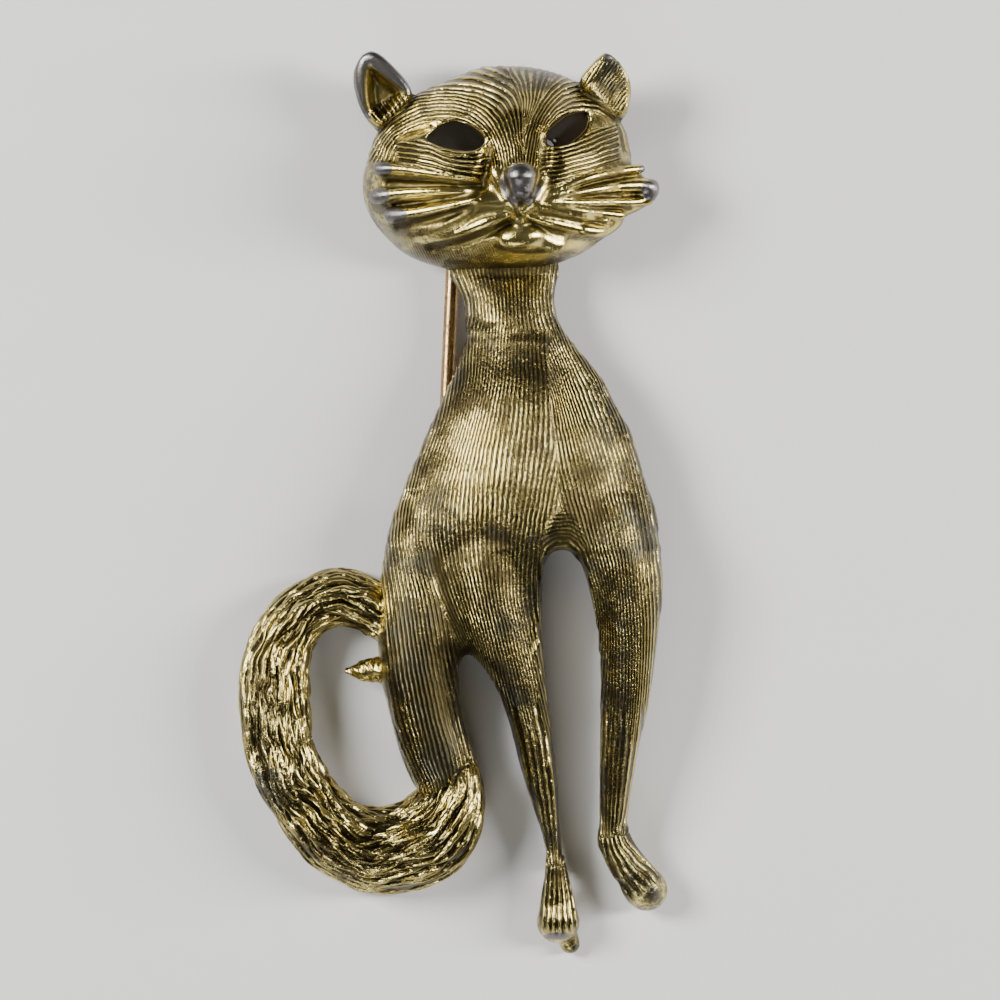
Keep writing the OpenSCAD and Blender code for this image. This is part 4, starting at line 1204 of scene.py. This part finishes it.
class Tree:
    """Short ways to add and join nodes."""

    def __init__(self, tree):
        self.tree = tree

    def add(self, kind, **settings):
        """A new node, with its inputs fed from a dictionary."""
        node = self.tree.nodes.new(kind)
        inputs = settings.pop("inputs", {})
        for key, value in settings.items():
            setattr(node, key, value)
        for key, value in inputs.items():
            self.feed(node.inputs[key], value)
        return node

    def feed(self, socket, value):
        """Joins a socket to another, or to a node's first output, or gives it a value."""
        if isinstance(value, bpy.types.NodeSocket):
            self.tree.links.new(value, socket)
        elif isinstance(value, bpy.types.Node):
            self.tree.links.new(value.outputs[0], socket)
        else:
            socket.default_value = (*value, 1) if isinstance(value, Color) else value

    def named(self, name):
        """The number that the mesh's points keep under a name."""
        if self.tree.type == "SHADER":
            return self.add("ShaderNodeAttribute", attribute_name=name).outputs["Fac"]
        return self.add("GeometryNodeInputNamedAttribute", data_type="FLOAT",
                        inputs={"Name": name}).outputs[0]

    def math(self, operation, a, b=0.0, c=0.0):
        """One step of arithmetic on numbers."""
        node = self.add("ShaderNodeMath", operation=operation)
        for socket, value in zip(node.inputs, (a, b, c)):
            self.feed(socket, value)
        return node.outputs[0]

    def heap(self, total, *parts):
        """Adds to a number one amount after the other, each times its factor."""
        for amount, factor in parts:
            total = self.math("MULTIPLY_ADD", amount, factor, total)
        return total

    def vector(self, operation, a, b=(0, 0, 0), scale=None):
        """One step of arithmetic on vectors."""
        node = self.add("ShaderNodeVectorMath", operation=operation)
        self.feed(node.inputs[0], a)
        self.feed(node.inputs[1], b)
        if scale is not None:
            self.feed(node.inputs["Scale"], scale)
        return node.outputs[0]

    def mix(self, kind, factor, a, b):
        """From a to b by a factor: two numbers or two colours."""
        node = self.add("ShaderNodeMix", data_type=kind)
        first, out = {"FLOAT": (2, 0), "RGBA": (6, 2)}[kind]
        for index, value in ((0, factor), (first, a), (first + 1, b)):
            self.feed(node.inputs[index], value)
        return node.outputs[out]

    def ramp(self, value, low, high, out_low=0.0, out_high=1.0):
        """A soft step from low to high."""
        return self.add("ShaderNodeMapRange", interpolation_type="SMOOTHSTEP", inputs={
            "Value": value, "From Min": low, "From Max": high, "To Min": out_low,
            "To Max": out_high}).outputs[0]

    def noise(self, vector, scale, detail=3.0, rough=0.55, seed=0.0):
        """Cloudy noise of a fixed seed."""
        return self.add("ShaderNodeTexNoise", noise_dimensions="4D", inputs={
            "Vector": vector, "W": seed, "Scale": scale, "Detail": detail,
            "Roughness": rough}).outputs[0]


def open_tree(name, values):
    """A new Geometry Nodes tree with its inputs, the finer skin, and its points in mm."""
    tree = bpy.data.node_groups.new(name, "GeometryNodeTree")
    face = tree.interface
    face.new_socket("Geometry", in_out="INPUT", socket_type="NodeSocketGeometry")
    for label, default in values:
        socket = face.new_socket(label, in_out="INPUT", socket_type="NodeSocketFloat")
        socket.default_value = default
    face.new_socket("Level", in_out="INPUT", socket_type="NodeSocketInt").default_value = 1
    face.new_socket("Metal", in_out="INPUT", socket_type="NodeSocketMaterial")
    face.new_socket("Geometry", in_out="OUTPUT", socket_type="NodeSocketGeometry")
    t = Tree(tree)
    given = t.add("NodeGroupInput").outputs
    fine = t.add("GeometryNodeSubdivisionSurface",
                 inputs={"Mesh": given["Geometry"], "Level": given["Level"]})
    return t, given, fine, t.vector("SCALE", t.add("GeometryNodeInputPosition"), scale=1 / MM)


def close_tree(t, given, marked, pattern, share, depth):
    """Raises the skin by half of a depth either way, and gives it its metal."""
    height = t.math("MULTIPLY", t.math("MULTIPLY", pattern, share),
                    t.math("MULTIPLY", depth, MM / 2))
    offset = t.vector("SCALE", t.add("GeometryNodeInputNormal"), scale=height)
    moved = t.add("GeometryNodeSetPosition", inputs={"Geometry": marked, "Offset": offset})
    smooth = t.add("GeometryNodeSetShadeSmooth", inputs={"Geometry": moved})
    real = t.add("GeometryNodeRealizeInstances", inputs={"Geometry": smooth})
    dressed = t.add("GeometryNodeSetMaterial",
                    inputs={"Geometry": real, "Material": given["Metal"]})
    t.add("NodeGroupOutput", inputs={"Geometry": dressed})
    return t.tree


def rib_wave(t, turns):
    """1 on a rib's crest and -1 in the valley, from the count of ribs."""
    return t.math("COSINE", t.math("MULTIPLY", turns, 2 * math.pi))


def chasing_tree():
    """Geometry Nodes: raises the chased ribs from the counts and depths on the points."""
    t, given, marked, place = open_tree("Chased ribs", (
        ("Rib depth", 0.12), ("Waver", 0.18), ("Hand", 0.35), ("Seed", 4.0)))
    drift = t.math("SUBTRACT", t.noise(place, 0.9, 2.0, 0.5, given["Seed"]), 0.5)
    chatter = t.noise(place, 2.6, 2.0, 0.6, 11.0)
    total = 0.0
    for layer in LAYERS:
        turns = t.math("MULTIPLY_ADD", drift, t.math("MULTIPLY", given["Waver"], 4.0),
                       t.named("turns_" + layer))
        total = t.math("MULTIPLY_ADD", rib_wave(t, turns), t.named("depth_" + layer), total)
        # the gilding reads the same count, so that its painted shade lies in the valleys
        marked = t.add("GeometryNodeStoreNamedAttribute", data_type="FLOAT", domain="POINT",
                       inputs={"Geometry": marked, "Name": "turns_" + layer, "Value": turns})
    uneven = t.mix("FLOAT", given["Hand"], 1.0, t.ramp(chatter, 0.3, 0.62, 0.0, 1.35))
    return close_tree(t, given, marked, total, uneven, given["Rib depth"])


def fur_ridge(t, place, length, width):
    """How high the fur stands: two sets of tapering strokes that lean across each other."""
    along = t.named("along")
    bend = t.math("SUBTRACT", t.noise(place, 0.33, 2.0, 0.5, 2.0), 0.5)
    across = t.math("MULTIPLY_ADD", bend, 2.2, t.named("across"))
    ridge = -2.0
    for lean, wide, lower, seed in ((0.10, 1.0, 0.0, 2.0), (-0.14, 1.3, 0.12, 7.0)):
        strand = t.add("ShaderNodeCombineXYZ", inputs={
            "X": t.math("DIVIDE", along, length),
            "Y": t.math("DIVIDE", t.math("MULTIPLY_ADD", along, lean, across),
                        t.math("MULTIPLY", width, wide)), "Z": seed})
        cells = t.add("ShaderNodeTexVoronoi", feature="F1", inputs={
            "Vector": strand, "Scale": 1.0, "Randomness": 0.9}).outputs["Distance"]
        ridge = t.math("MAXIMUM", ridge, t.ramp(cells, 0.12, 0.8, 1.0 - lower, -1.0 - lower))
    lumps = t.noise(place, 1.6, 3.0, 0.6, 5.0)
    return t.math("MULTIPLY_ADD", t.math("SUBTRACT", lumps, 0.5), 0.5, ridge)


def fur_tree():
    """Geometry Nodes: cuts the tail's fur strokes along its curl."""
    t, given, fine, place = open_tree("Fur strokes", (
        ("Stroke depth", 0.22), ("Stroke length", 3.4), ("Stroke width", 0.5)))
    ridge = fur_ridge(t, place, given["Stroke length"], given["Stroke width"])
    return close_tree(t, given, fine, ridge, t.named("stroke"), given["Stroke depth"])


def run_tree(mesh, tree, settings, name):
    """A mesh passed through a Geometry Nodes tree."""
    def prepare(obj, worker):
        worker.node_group = tree
        for item in tree.interface.items_tree:
            if item.in_out == "INPUT" and item.name in settings:
                worker[item.identifier] = settings[item.name]

    return through(mesh, name, "NODES", prepare)


def open_material(name):
    """A new material, its empty tree, and the surface's points in mm."""
    mat = bpy.data.materials.new(name)
    mat.use_nodes = True
    mat.node_tree.nodes.clear()
    t = Tree(mat.node_tree)
    return mat, t, t.vector("SCALE", t.add("ShaderNodeTexCoord").outputs["Object"], scale=1 / MM)


def close_material(t, height, strength, distance, looks):
    """A metal with a fine relief, as the material's surface."""
    bump = t.add("ShaderNodeBump", inputs={"Strength": strength, "Distance": distance,
                                           "Height": height})
    metal = t.add("ShaderNodeBsdfPrincipled", inputs={**looks, "Normal": bump})
    t.add("ShaderNodeOutputMaterial", inputs={"Surface": metal})


def gilt_material(name, look, fur=None):
    """Old gilding over a grey casting, with chased relief, tarnish and wear, and painted shade and
    painted highlights.
    """
    mat, t, place = open_material(name)
    grain = t.noise(place, 9.0, 4.0, 0.65, 1.0)
    blotch = t.noise(place, 0.55, 4.0, 0.6, 2.0)
    speck = t.noise(place, 4.2, 3.0, 0.7, 3.0)
    mottle = t.ramp(t.heap(blotch, (speck, 0.7)), 0.64, 0.98, 0.15, 1.0)
    # thin film and painted shade are mottled, and the thickest hides the gilding whole
    film_and_shade = t.named("tarnish")
    tarnish = t.ramp(t.math("MAXIMUM", t.math("MULTIPLY", film_and_shade, mottle),
                            t.heap(-0.95, (film_and_shade, 1.5))), 0.08, 0.75)
    worn = t.ramp(t.heap(t.named("worn"), (t.math("SUBTRACT", blotch, 0.5), 0.5)), 0.35, 0.6)
    # rib valleys: the same counts as the relief, read here for painted shade in the valleys and a
    # sharper edge
    valley, ribs = 0.0, 0.0
    for layer in LAYERS:
        wave = rib_wave(t, t.named("turns_" + layer))
        deep = t.named("depth_" + layer)
        low = t.math("MULTIPLY", t.ramp(t.heap(wave, (speck, 0.9)), 1.15, 0.0),
                     t.math("MINIMUM", t.math("MULTIPLY", deep, 1.4), 1.0))
        valley = t.math("MAXIMUM", valley, low)
        ribs = t.heap(ribs, (t.ramp(wave, -0.6, 0.9), deep))
    strokes = 0.0
    if fur:
        ridge = fur_ridge(t, place, fur.stroke_length, fur.stroke_width)
        cut = t.named("stroke")
        # painted shade in the grooves between the fur strokes
        valley = t.math("MAXIMUM", valley, t.math("MULTIPLY", t.ramp(ridge, 0.5, -0.35), cut))
        strokes = t.math("MULTIPLY", ridge, cut)
    # painted shade: darker where much metal is close by, and along the crease lines
    grime = t.heap(t.named("grime"), (t.math("SUBTRACT", speck, 0.5), 0.8))
    painted_shade = t.math("MAXIMUM",
                  t.ramp(t.heap(t.named("cavity"), (speck, 0.3)), 0.62, 1.0, 0.0, 0.9),
                  t.ramp(grime, 0.25, 0.85, 0.0, 0.85))
    inside = t.ramp(t.named("outer"), 0.55, 0.1)
    # painted shade behind the eye openings
    pit = t.ramp(t.named("pit"), 0.3, 0.8)
    # colours, one over the other
    hue = t.ramp(t.noise(place, 0.22, 2.0, 0.5, 6.0), 0.42, 0.62)
    colour = t.mix("RGBA", t.ramp(blotch, 0.35, 0.68), look.gold, look.deep_gold)
    for share, over in (
            (t.math("MULTIPLY", tarnish, 0.94), t.mix("RGBA", hue, look.tarnish, look.slate)),
            (worn, look.base_metal), (t.math("MULTIPLY", valley, 0.93), look.painted_shade),
            (painted_shade, look.painted_shade), (inside, t.mix("RGBA", mottle, look.inside, look.tarnish)),
            (pit, look.painted_eye_shade)):
        colour = t.mix("RGBA", share, colour, over)
    rough = t.heap(look.roughness - 0.08, (grain, 0.16), (tarnish, 0.10), (worn, 0.12),
                   (painted_shade, 0.25), (inside, 0.18), (pit, 0.35))
    scratch = t.noise(t.vector("MULTIPLY", place, (14.0, 1.6, 3.0)), 1.0, 2.0, 0.5, 8.0)
    height = t.heap(t.math("MULTIPLY", speck, 0.65), (grain, 0.35), (scratch, 0.25),
                    (t.math("MULTIPLY", tarnish, speck), 0.5), (ribs, 3.0), (strokes, 1.2))
    close_material(t, height, 0.6, 0.06 * MM, {
        "Base Color": colour, "Metallic": t.math("SUBTRACT", 1.0, pit), "Roughness": rough,
        "Specular IOR Level": 0.15})
    return mat


def wire_material(name, colour, dull, rough):
    """Drawn wire or sheet with lengthwise draw lines and dull spots."""
    mat, t, place = open_material(name)
    lines = t.noise(t.vector("MULTIPLY", place, (9.0, 0.5, 9.0)), 1.0, 3.0, 0.6, 1.0)
    grain = t.noise(place, 12.0, 2.0, 0.5, 3.0)
    age = t.ramp(t.noise(place, 1.7, 4.0, 0.65, 2.0), 0.42, 0.70)
    close_material(t, t.heap(t.math("MULTIPLY", grain, 0.4), (lines, 0.6)), 0.4, 0.03 * MM, {
        "Base Color": t.mix("RGBA", age, Color(colour), Color(dull)), "Metallic": 1.0,
        "Roughness": t.heap(rough - 0.05, (lines, 0.15), (age, 0.18))})
    return mat


# The stage, in metres

# the camera's sensor is 36 mm wide; all lamps aim at LIT
SENSOR = 36
FLOOR_REACH, FLOOR_ROUGHNESS = 1.2, 0.8
LIT = Vector((0.003, 0, 0.004))
LAMPS = (
    ("window", (-0.25, 0.09, 0.25), (0.13, 0.14), 2.1, (1.0, 0.98, 0.95)),
    ("side", (0.31, 0.03, 0.19), (0.07, 0.24), 2.1, (1.0, 0.97, 0.92)),
    ("foot", (-0.04, -0.30, 0.20), (0.22, 0.06), 0.35, (0.96, 0.98, 1.0)))
ROOM_LIGHT = ((0.72, 0.74, 0.78, 1), 0.10)


def make_floor(scene, colour):
    """A plain floor with a faint cloud in its colour."""
    r = FLOOR_REACH
    mesh = bpy.data.meshes.new("floor")
    mesh.from_pydata([(-r, -r, 0), (r, -r, 0), (r, r, 0), (-r, r, 0)], [], [(0, 1, 2, 3)])
    floor = bpy.data.objects.new("floor", mesh)
    scene.collection.objects.link(floor)
    mat = bpy.data.materials.new("Floor")
    mat.use_nodes = True
    t = Tree(mat.node_tree)
    base = mat.node_tree.nodes["Principled BSDF"]
    cloud = t.noise(t.add("ShaderNodeTexCoord").outputs["Object"], 220.0, 4.0, 0.6)
    t.feed(base.inputs["Base Color"], t.mix("RGBA", cloud, colour * 0.97, colour))
    base.inputs["Roughness"].default_value = FLOOR_ROUGHNESS
    mesh.materials.append(mat)
    return floor


# Settings

class GildingSettings(bpy.types.PropertyGroup):
    gold: FloatVectorProperty(name="Gold", description="The gilding where it is clean",
                              subtype="COLOR", default=(0.74, 0.62, 0.235), min=0, max=1)
    deep_gold: FloatVectorProperty(name="Deep gold", description="The gilding where it is thick",
                                   subtype="COLOR", default=(0.53, 0.41, 0.115), min=0, max=1)
    # brown film, also used to paint shade on the sides, jaw and haunch
    tarnish: FloatVectorProperty(name="Tarnish", description="Brown film on the gilding",
                                 subtype="COLOR", default=(0.112, 0.088, 0.042), min=0, max=1)
    slate: FloatVectorProperty(name="Slate", description="Blue-grey film on the gilding",
                               subtype="COLOR", default=(0.085, 0.090, 0.080), min=0, max=1)
    base_metal: FloatVectorProperty(name="Base metal", description="Casting where gilding is gone",
                                    subtype="COLOR", default=(0.19, 0.182, 0.172), min=0, max=1)
    # painted shade in creases, hollows, rib valleys and fur grooves
    painted_shade: FloatVectorProperty(name="Dirt", description="Old polish in the hollows",
                              subtype="COLOR", default=(0.050, 0.039, 0.015), min=0, max=1)
    inside: FloatVectorProperty(name="Inside", description="Dull plating in the open back",
                                subtype="COLOR", default=(0.30, 0.235, 0.10), min=0, max=1)
    # painted shade seen through the eye openings
    painted_eye_shade: FloatVectorProperty(name="Eye pit", description="Black dirt behind the eyes",
                                 subtype="COLOR", default=(0.013, 0.009, 0.005), min=0, max=1)
    roughness: FloatProperty(name="Roughness", description="Mean roughness of the gilding",
                             default=0.19, min=0.02, max=1)


class ChasingSettings(bpy.types.PropertyGroup):
    pitch: FloatProperty(name="Skin pitch", description="Spacing of the sculpted skin's points",
                         default=0.16 * MM, unit="LENGTH", precision=5)
    rib_depth: FloatProperty(name="Rib depth", description="Crest to valley of a chased rib, mm",
                             default=0.075, min=0, max=0.4)
    waver: FloatProperty(name="Waver", description="How unsteadily a rib runs, in rib widths",
                         default=0.10, min=0, max=1)
    hand: FloatProperty(name="Hand", description="How unevenly the ribs are struck",
                        default=0.45, min=0, max=1)
    stroke_depth: FloatProperty(name="Stroke depth", description="Depth of the tail's fur, mm",
                                default=0.34, min=0, max=0.6)
    stroke_length: FloatProperty(name="Stroke length", description="Length of a fur stroke, mm",
                                 default=3.6, min=0.5, max=8)
    stroke_width: FloatProperty(name="Stroke width", description="Width of a fur stroke, mm",
                                default=0.42, min=0.2, max=2)
    level: IntProperty(name="Level", description="Subdivision of the skin under the chasing",
                       default=1, min=0, max=2)


class StageSettings(bpy.types.PropertyGroup):
    floor: FloatVectorProperty(name="Floor", description="Colour of the floor",
                               subtype="COLOR", default=(0.74, 0.74, 0.75), min=0, max=1)
    height: FloatProperty(name="Camera height", description="Height of the camera over the floor",
                          default=0.32, unit="LENGTH", subtype="DISTANCE")


def sculpted(name, sculpt, zones, raised_zones):
    """A form's closed skin, with everything on its points that chasing and gilding read."""
    pitch = bpy.context.scene.brooch_chasing.pitch / MM * 1.0
    block, hollow, dome = sculpt(pitch)
    mesh = skin(block, name)
    inner = read_at(hollow, block, mesh_points(mesh)) < NEAR_HOLLOW
    mesh = thin_inside(mesh, inner, HOLLOW_KEEP)
    dress_points(mesh, block, dome, zones, raised_zones, *FILM_AND_SIDE_SHADE[name])
    return mesh


def chased(mesh, name):
    """A form with its ribs raised and gilt, within its number of triangles."""
    settings = bpy.context.scene.brooch_chasing
    tree = bpy.data.node_groups.get("Chased ribs") or chasing_tree()
    return within(run_tree(mesh, tree, {
        "Rib depth": settings.rib_depth, "Waver": settings.waver, "Hand": settings.hand,
        "Level": settings.level, "Metal": gilt("Gilt casting")}, name), MOST[name])


def furred(mesh, name):
    """The tail with its fur cut and gilt, within its number of triangles."""
    settings = bpy.context.scene.brooch_chasing
    tree = bpy.data.node_groups.get("Fur strokes") or fur_tree()
    return within(run_tree(mesh, tree, {
        "Stroke depth": settings.stroke_depth, "Stroke length": settings.stroke_length,
        "Stroke width": settings.stroke_width, "Level": settings.level,
        "Metal": gilt("Gilt fur", settings)}, name), MOST[name])


def lay_fur(mesh):
    """Where each point of the tail lies along and across the curl, and how deep fur is cut."""
    points = mesh_points(mesh)
    x, y, z = points.T
    angle, arm = tail_place(x, y)
    out = np.hypot(x - CURL_X, y - CURL_Y) - column(smooth_rows(TAIL), angle, 1) * arm
    # the tail's sides go on across, as if unrolled
    out += np.where(out < 0, -1, 1) * (TAIL_H * 0.8 - z) * 0.7
    store(mesh, "along", np.radians(angle) * CURL_ARM)
    store(mesh, "across", out)
    outer = numbers(mesh.attributes["outer"].data, "value", 1)[:, 0]
    spur = (np.hypot(x - SPUR[0], y - SPUR[1]) < SPUR_REACH) & (x > SPUR_LEFT)
    store(mesh, "stroke", outer * np.where(spur, SPUR_CUT, 1.0))


def gilt(name, fur=None):
    """The gilding, made once under each name."""
    return (bpy.data.materials.get(name)
            or gilt_material(name, bpy.context.scene.brooch_gilding, fur))


def put(mesh, name, node="casting", body="brooch"):
    """A finished piece of the casting, in the CAD casting's place."""
    piece = bpy.data.objects.new(name, mesh)
    bpy.context.scene.collection.objects.link(piece)
    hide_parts(node)
    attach(piece, body)


def cut_across(mesh, y, name, keep_above):
    """One side of a closed mesh, cut square at y and closed again."""
    bm = bmesh.new()
    bm.from_mesh(mesh)
    geometry = list(bm.verts) + list(bm.edges) + list(bm.faces)
    cut = bmesh.ops.bisect_plane(bm, geom=geometry, plane_co=(0, y * MM, 0),
                                 plane_no=(0, 1, 0), clear_inner=keep_above,
                                 clear_outer=not keep_above)
    edges = [e for e in cut["geom_cut"] if isinstance(e, bmesh.types.BMEdge)]
    filled = bmesh.ops.triangle_fill(bm, edges=edges, use_beauty=True, normal=(0, 1, 0))
    cap = [f for f in filled["geom"] if isinstance(f, bmesh.types.BMFace)]
    for face in cap:
        face.normal_update()
    inward = [f for f in cap if (f.normal.y > 0) == keep_above]
    bmesh.ops.reverse_faces(bm, faces=inward)
    out = bpy.data.meshes.new(name)
    bm.to_mesh(out)
    bm.free()
    for metal in mesh.materials:
        out.materials.append(metal)
    return out


def keep_shading(mesh):
    """Puts back the shading that the uncut skin had at its points."""
    shade = numbers(mesh.attributes["shade"].data, "vector", 3)
    mesh.normals_split_custom_set_from_vertices(shade)
    mesh.attributes.remove(mesh.attributes["shade"])


class BROOCH_OT_head(bpy.types.Operator):
    """Sculpt the head with its ears, eyes, muzzle and whiskers"""
    bl_idname = "brooch.head"
    bl_label = "Head"

    def execute(self, context):
        put(chased(sculpted("head", sculpt_head, HEAD_ZONES, EAR_ZONES), "head"), "head")
        return {"FINISHED"}


class BROOCH_OT_body(bpy.types.Operator):
    """Sculpt the neck, trunk, haunch and forelegs"""
    bl_idname = "brooch.body"
    bl_label = "Trunk and legs"

    def execute(self, context):
        mesh = chased(sculpted("body", sculpt_body, BODY_ZONES, []), "body")
        shade = mesh.attributes.new("shade", "FLOAT_VECTOR", "POINT")
        shade.data.foreach_set("vector", mesh_normals(mesh).astype(np.float32).ravel())
        upper = cut_across(mesh, SHIN_CUT, "upper", True)
        for part in (cut_across(upper, CHEST_CUT, "chest", True),
                     cut_across(upper, CHEST_CUT, "flanks", False),
                     cut_across(mesh, SHIN_CUT, "forelegs", False)):
            keep_shading(part)
            put(part, part.name)
        return {"FINISHED"}


class BROOCH_OT_tail(bpy.types.Operator):
    """Sculpt the tail's curl and cut its fur"""
    bl_idname = "brooch.tail"
    bl_label = "Tail"

    def execute(self, context):
        mesh = sculpted("tail", sculpt_tail, [], [])
        lay_fur(mesh)
        put(furred(mesh, "tail"), "tail")
        return {"FINISHED"}


class BROOCH_OT_findings(bpy.types.Operator):
    """Finish the pin and the fittings that hold it"""
    bl_idname = "brooch.findings"
    bl_label = "Pin and fittings"

    def execute(self, context):
        sheet = wire_material("Brass sheet", *BRASS_SHEET)
        wire = wire_material("Gilt wire", *GILT_WIRE)
        for node in ("pin_joint", "hinge_rivet", "catch", "pin_stem"):
            obj = bpy.data.objects[node]
            for slot in obj.material_slots:
                slot.material = wire if node == "pin_stem" else sheet
        return {"FINISHED"}


class BROOCH_OT_stage(bpy.types.Operator):
    """Set the floor, the soft lights and the camera straight above"""
    bl_idname = "brooch.stage"
    bl_label = "Stage"

    def execute(self, context):
        scene = context.scene
        settings = scene.brooch_stage
        floor = make_floor(scene, settings.floor)
        camera = bpy.data.cameras.new("camera")
        camera.lens = SENSOR * settings.height / (2 * MIDDLE * STEP * MM)
        camera.clip_start = 0.01
        eye = bpy.data.objects.new("camera", camera)
        eye.location = ((MIDDLE - ORIGIN[0]) * STEP * MM, (ORIGIN[1] - MIDDLE) * STEP * MM,
                        settings.height)
        scene.collection.objects.link(eye)
        scene.camera = eye
        for name, at, size, power, colour in LAMPS:
            lamp = bpy.data.lights.new(name, "AREA")
            lamp.shape = "RECTANGLE"
            lamp.size, lamp.size_y = size
            lamp.energy = power
            lamp.color = colour
            obj = bpy.data.objects.new(name, lamp)
            obj.location = at
            obj.rotation_euler = (LIT - Vector(at)).to_track_quat("-Z", "Y").to_euler()
            scene.collection.objects.link(obj)
        world = scene.world or bpy.data.worlds.new("room")
        scene.world = world
        world.use_nodes = True
        room = world.node_tree.nodes["Background"]
        room.inputs["Color"].default_value, room.inputs["Strength"].default_value = ROOM_LIGHT
        return {"FINISHED"}


class BROOCH_PT_panel(bpy.types.Panel):
    """The brooch's pieces and their settings"""
    bl_label = "Cat brooch"
    bl_idname = "BROOCH_PT_panel"
    bl_space_type = "VIEW_3D"
    bl_region_type = "UI"
    bl_category = "Brooch"

    def draw(self, context):
        layout = self.layout
        for group in (context.scene.brooch_gilding, context.scene.brooch_chasing,
                      context.scene.brooch_stage):
            box = layout.box()
            for key in group.__annotations__:
                box.prop(group, key)
        for operator in OPERATORS:
            layout.operator(operator.bl_idname)


GROUPS = (GildingSettings, ChasingSettings, StageSettings)
OPERATORS = (BROOCH_OT_stage, BROOCH_OT_head, BROOCH_OT_body, BROOCH_OT_tail,
             BROOCH_OT_findings)


def register():
    for cls in GROUPS + OPERATORS + (BROOCH_PT_panel,):
        bpy.utils.register_class(cls)
    bpy.types.Scene.brooch_gilding = PointerProperty(type=GildingSettings)
    bpy.types.Scene.brooch_chasing = PointerProperty(type=ChasingSettings)
    bpy.types.Scene.brooch_stage = PointerProperty(type=StageSettings)


def unregister():
    for name in ("brooch_gilding", "brooch_chasing", "brooch_stage"):
        delattr(bpy.types.Scene, name)
    for cls in reversed(GROUPS + OPERATORS + (BROOCH_PT_panel,)):
        bpy.utils.unregister_class(cls)


def main():
    """Dresses the part."""
    register()
    bpy.ops.brooch.stage()
    bpy.ops.brooch.head()
    bpy.ops.brooch.body()
    bpy.ops.brooch.tail()
    bpy.ops.brooch.findings()


if __name__ == "__main__":
    main()
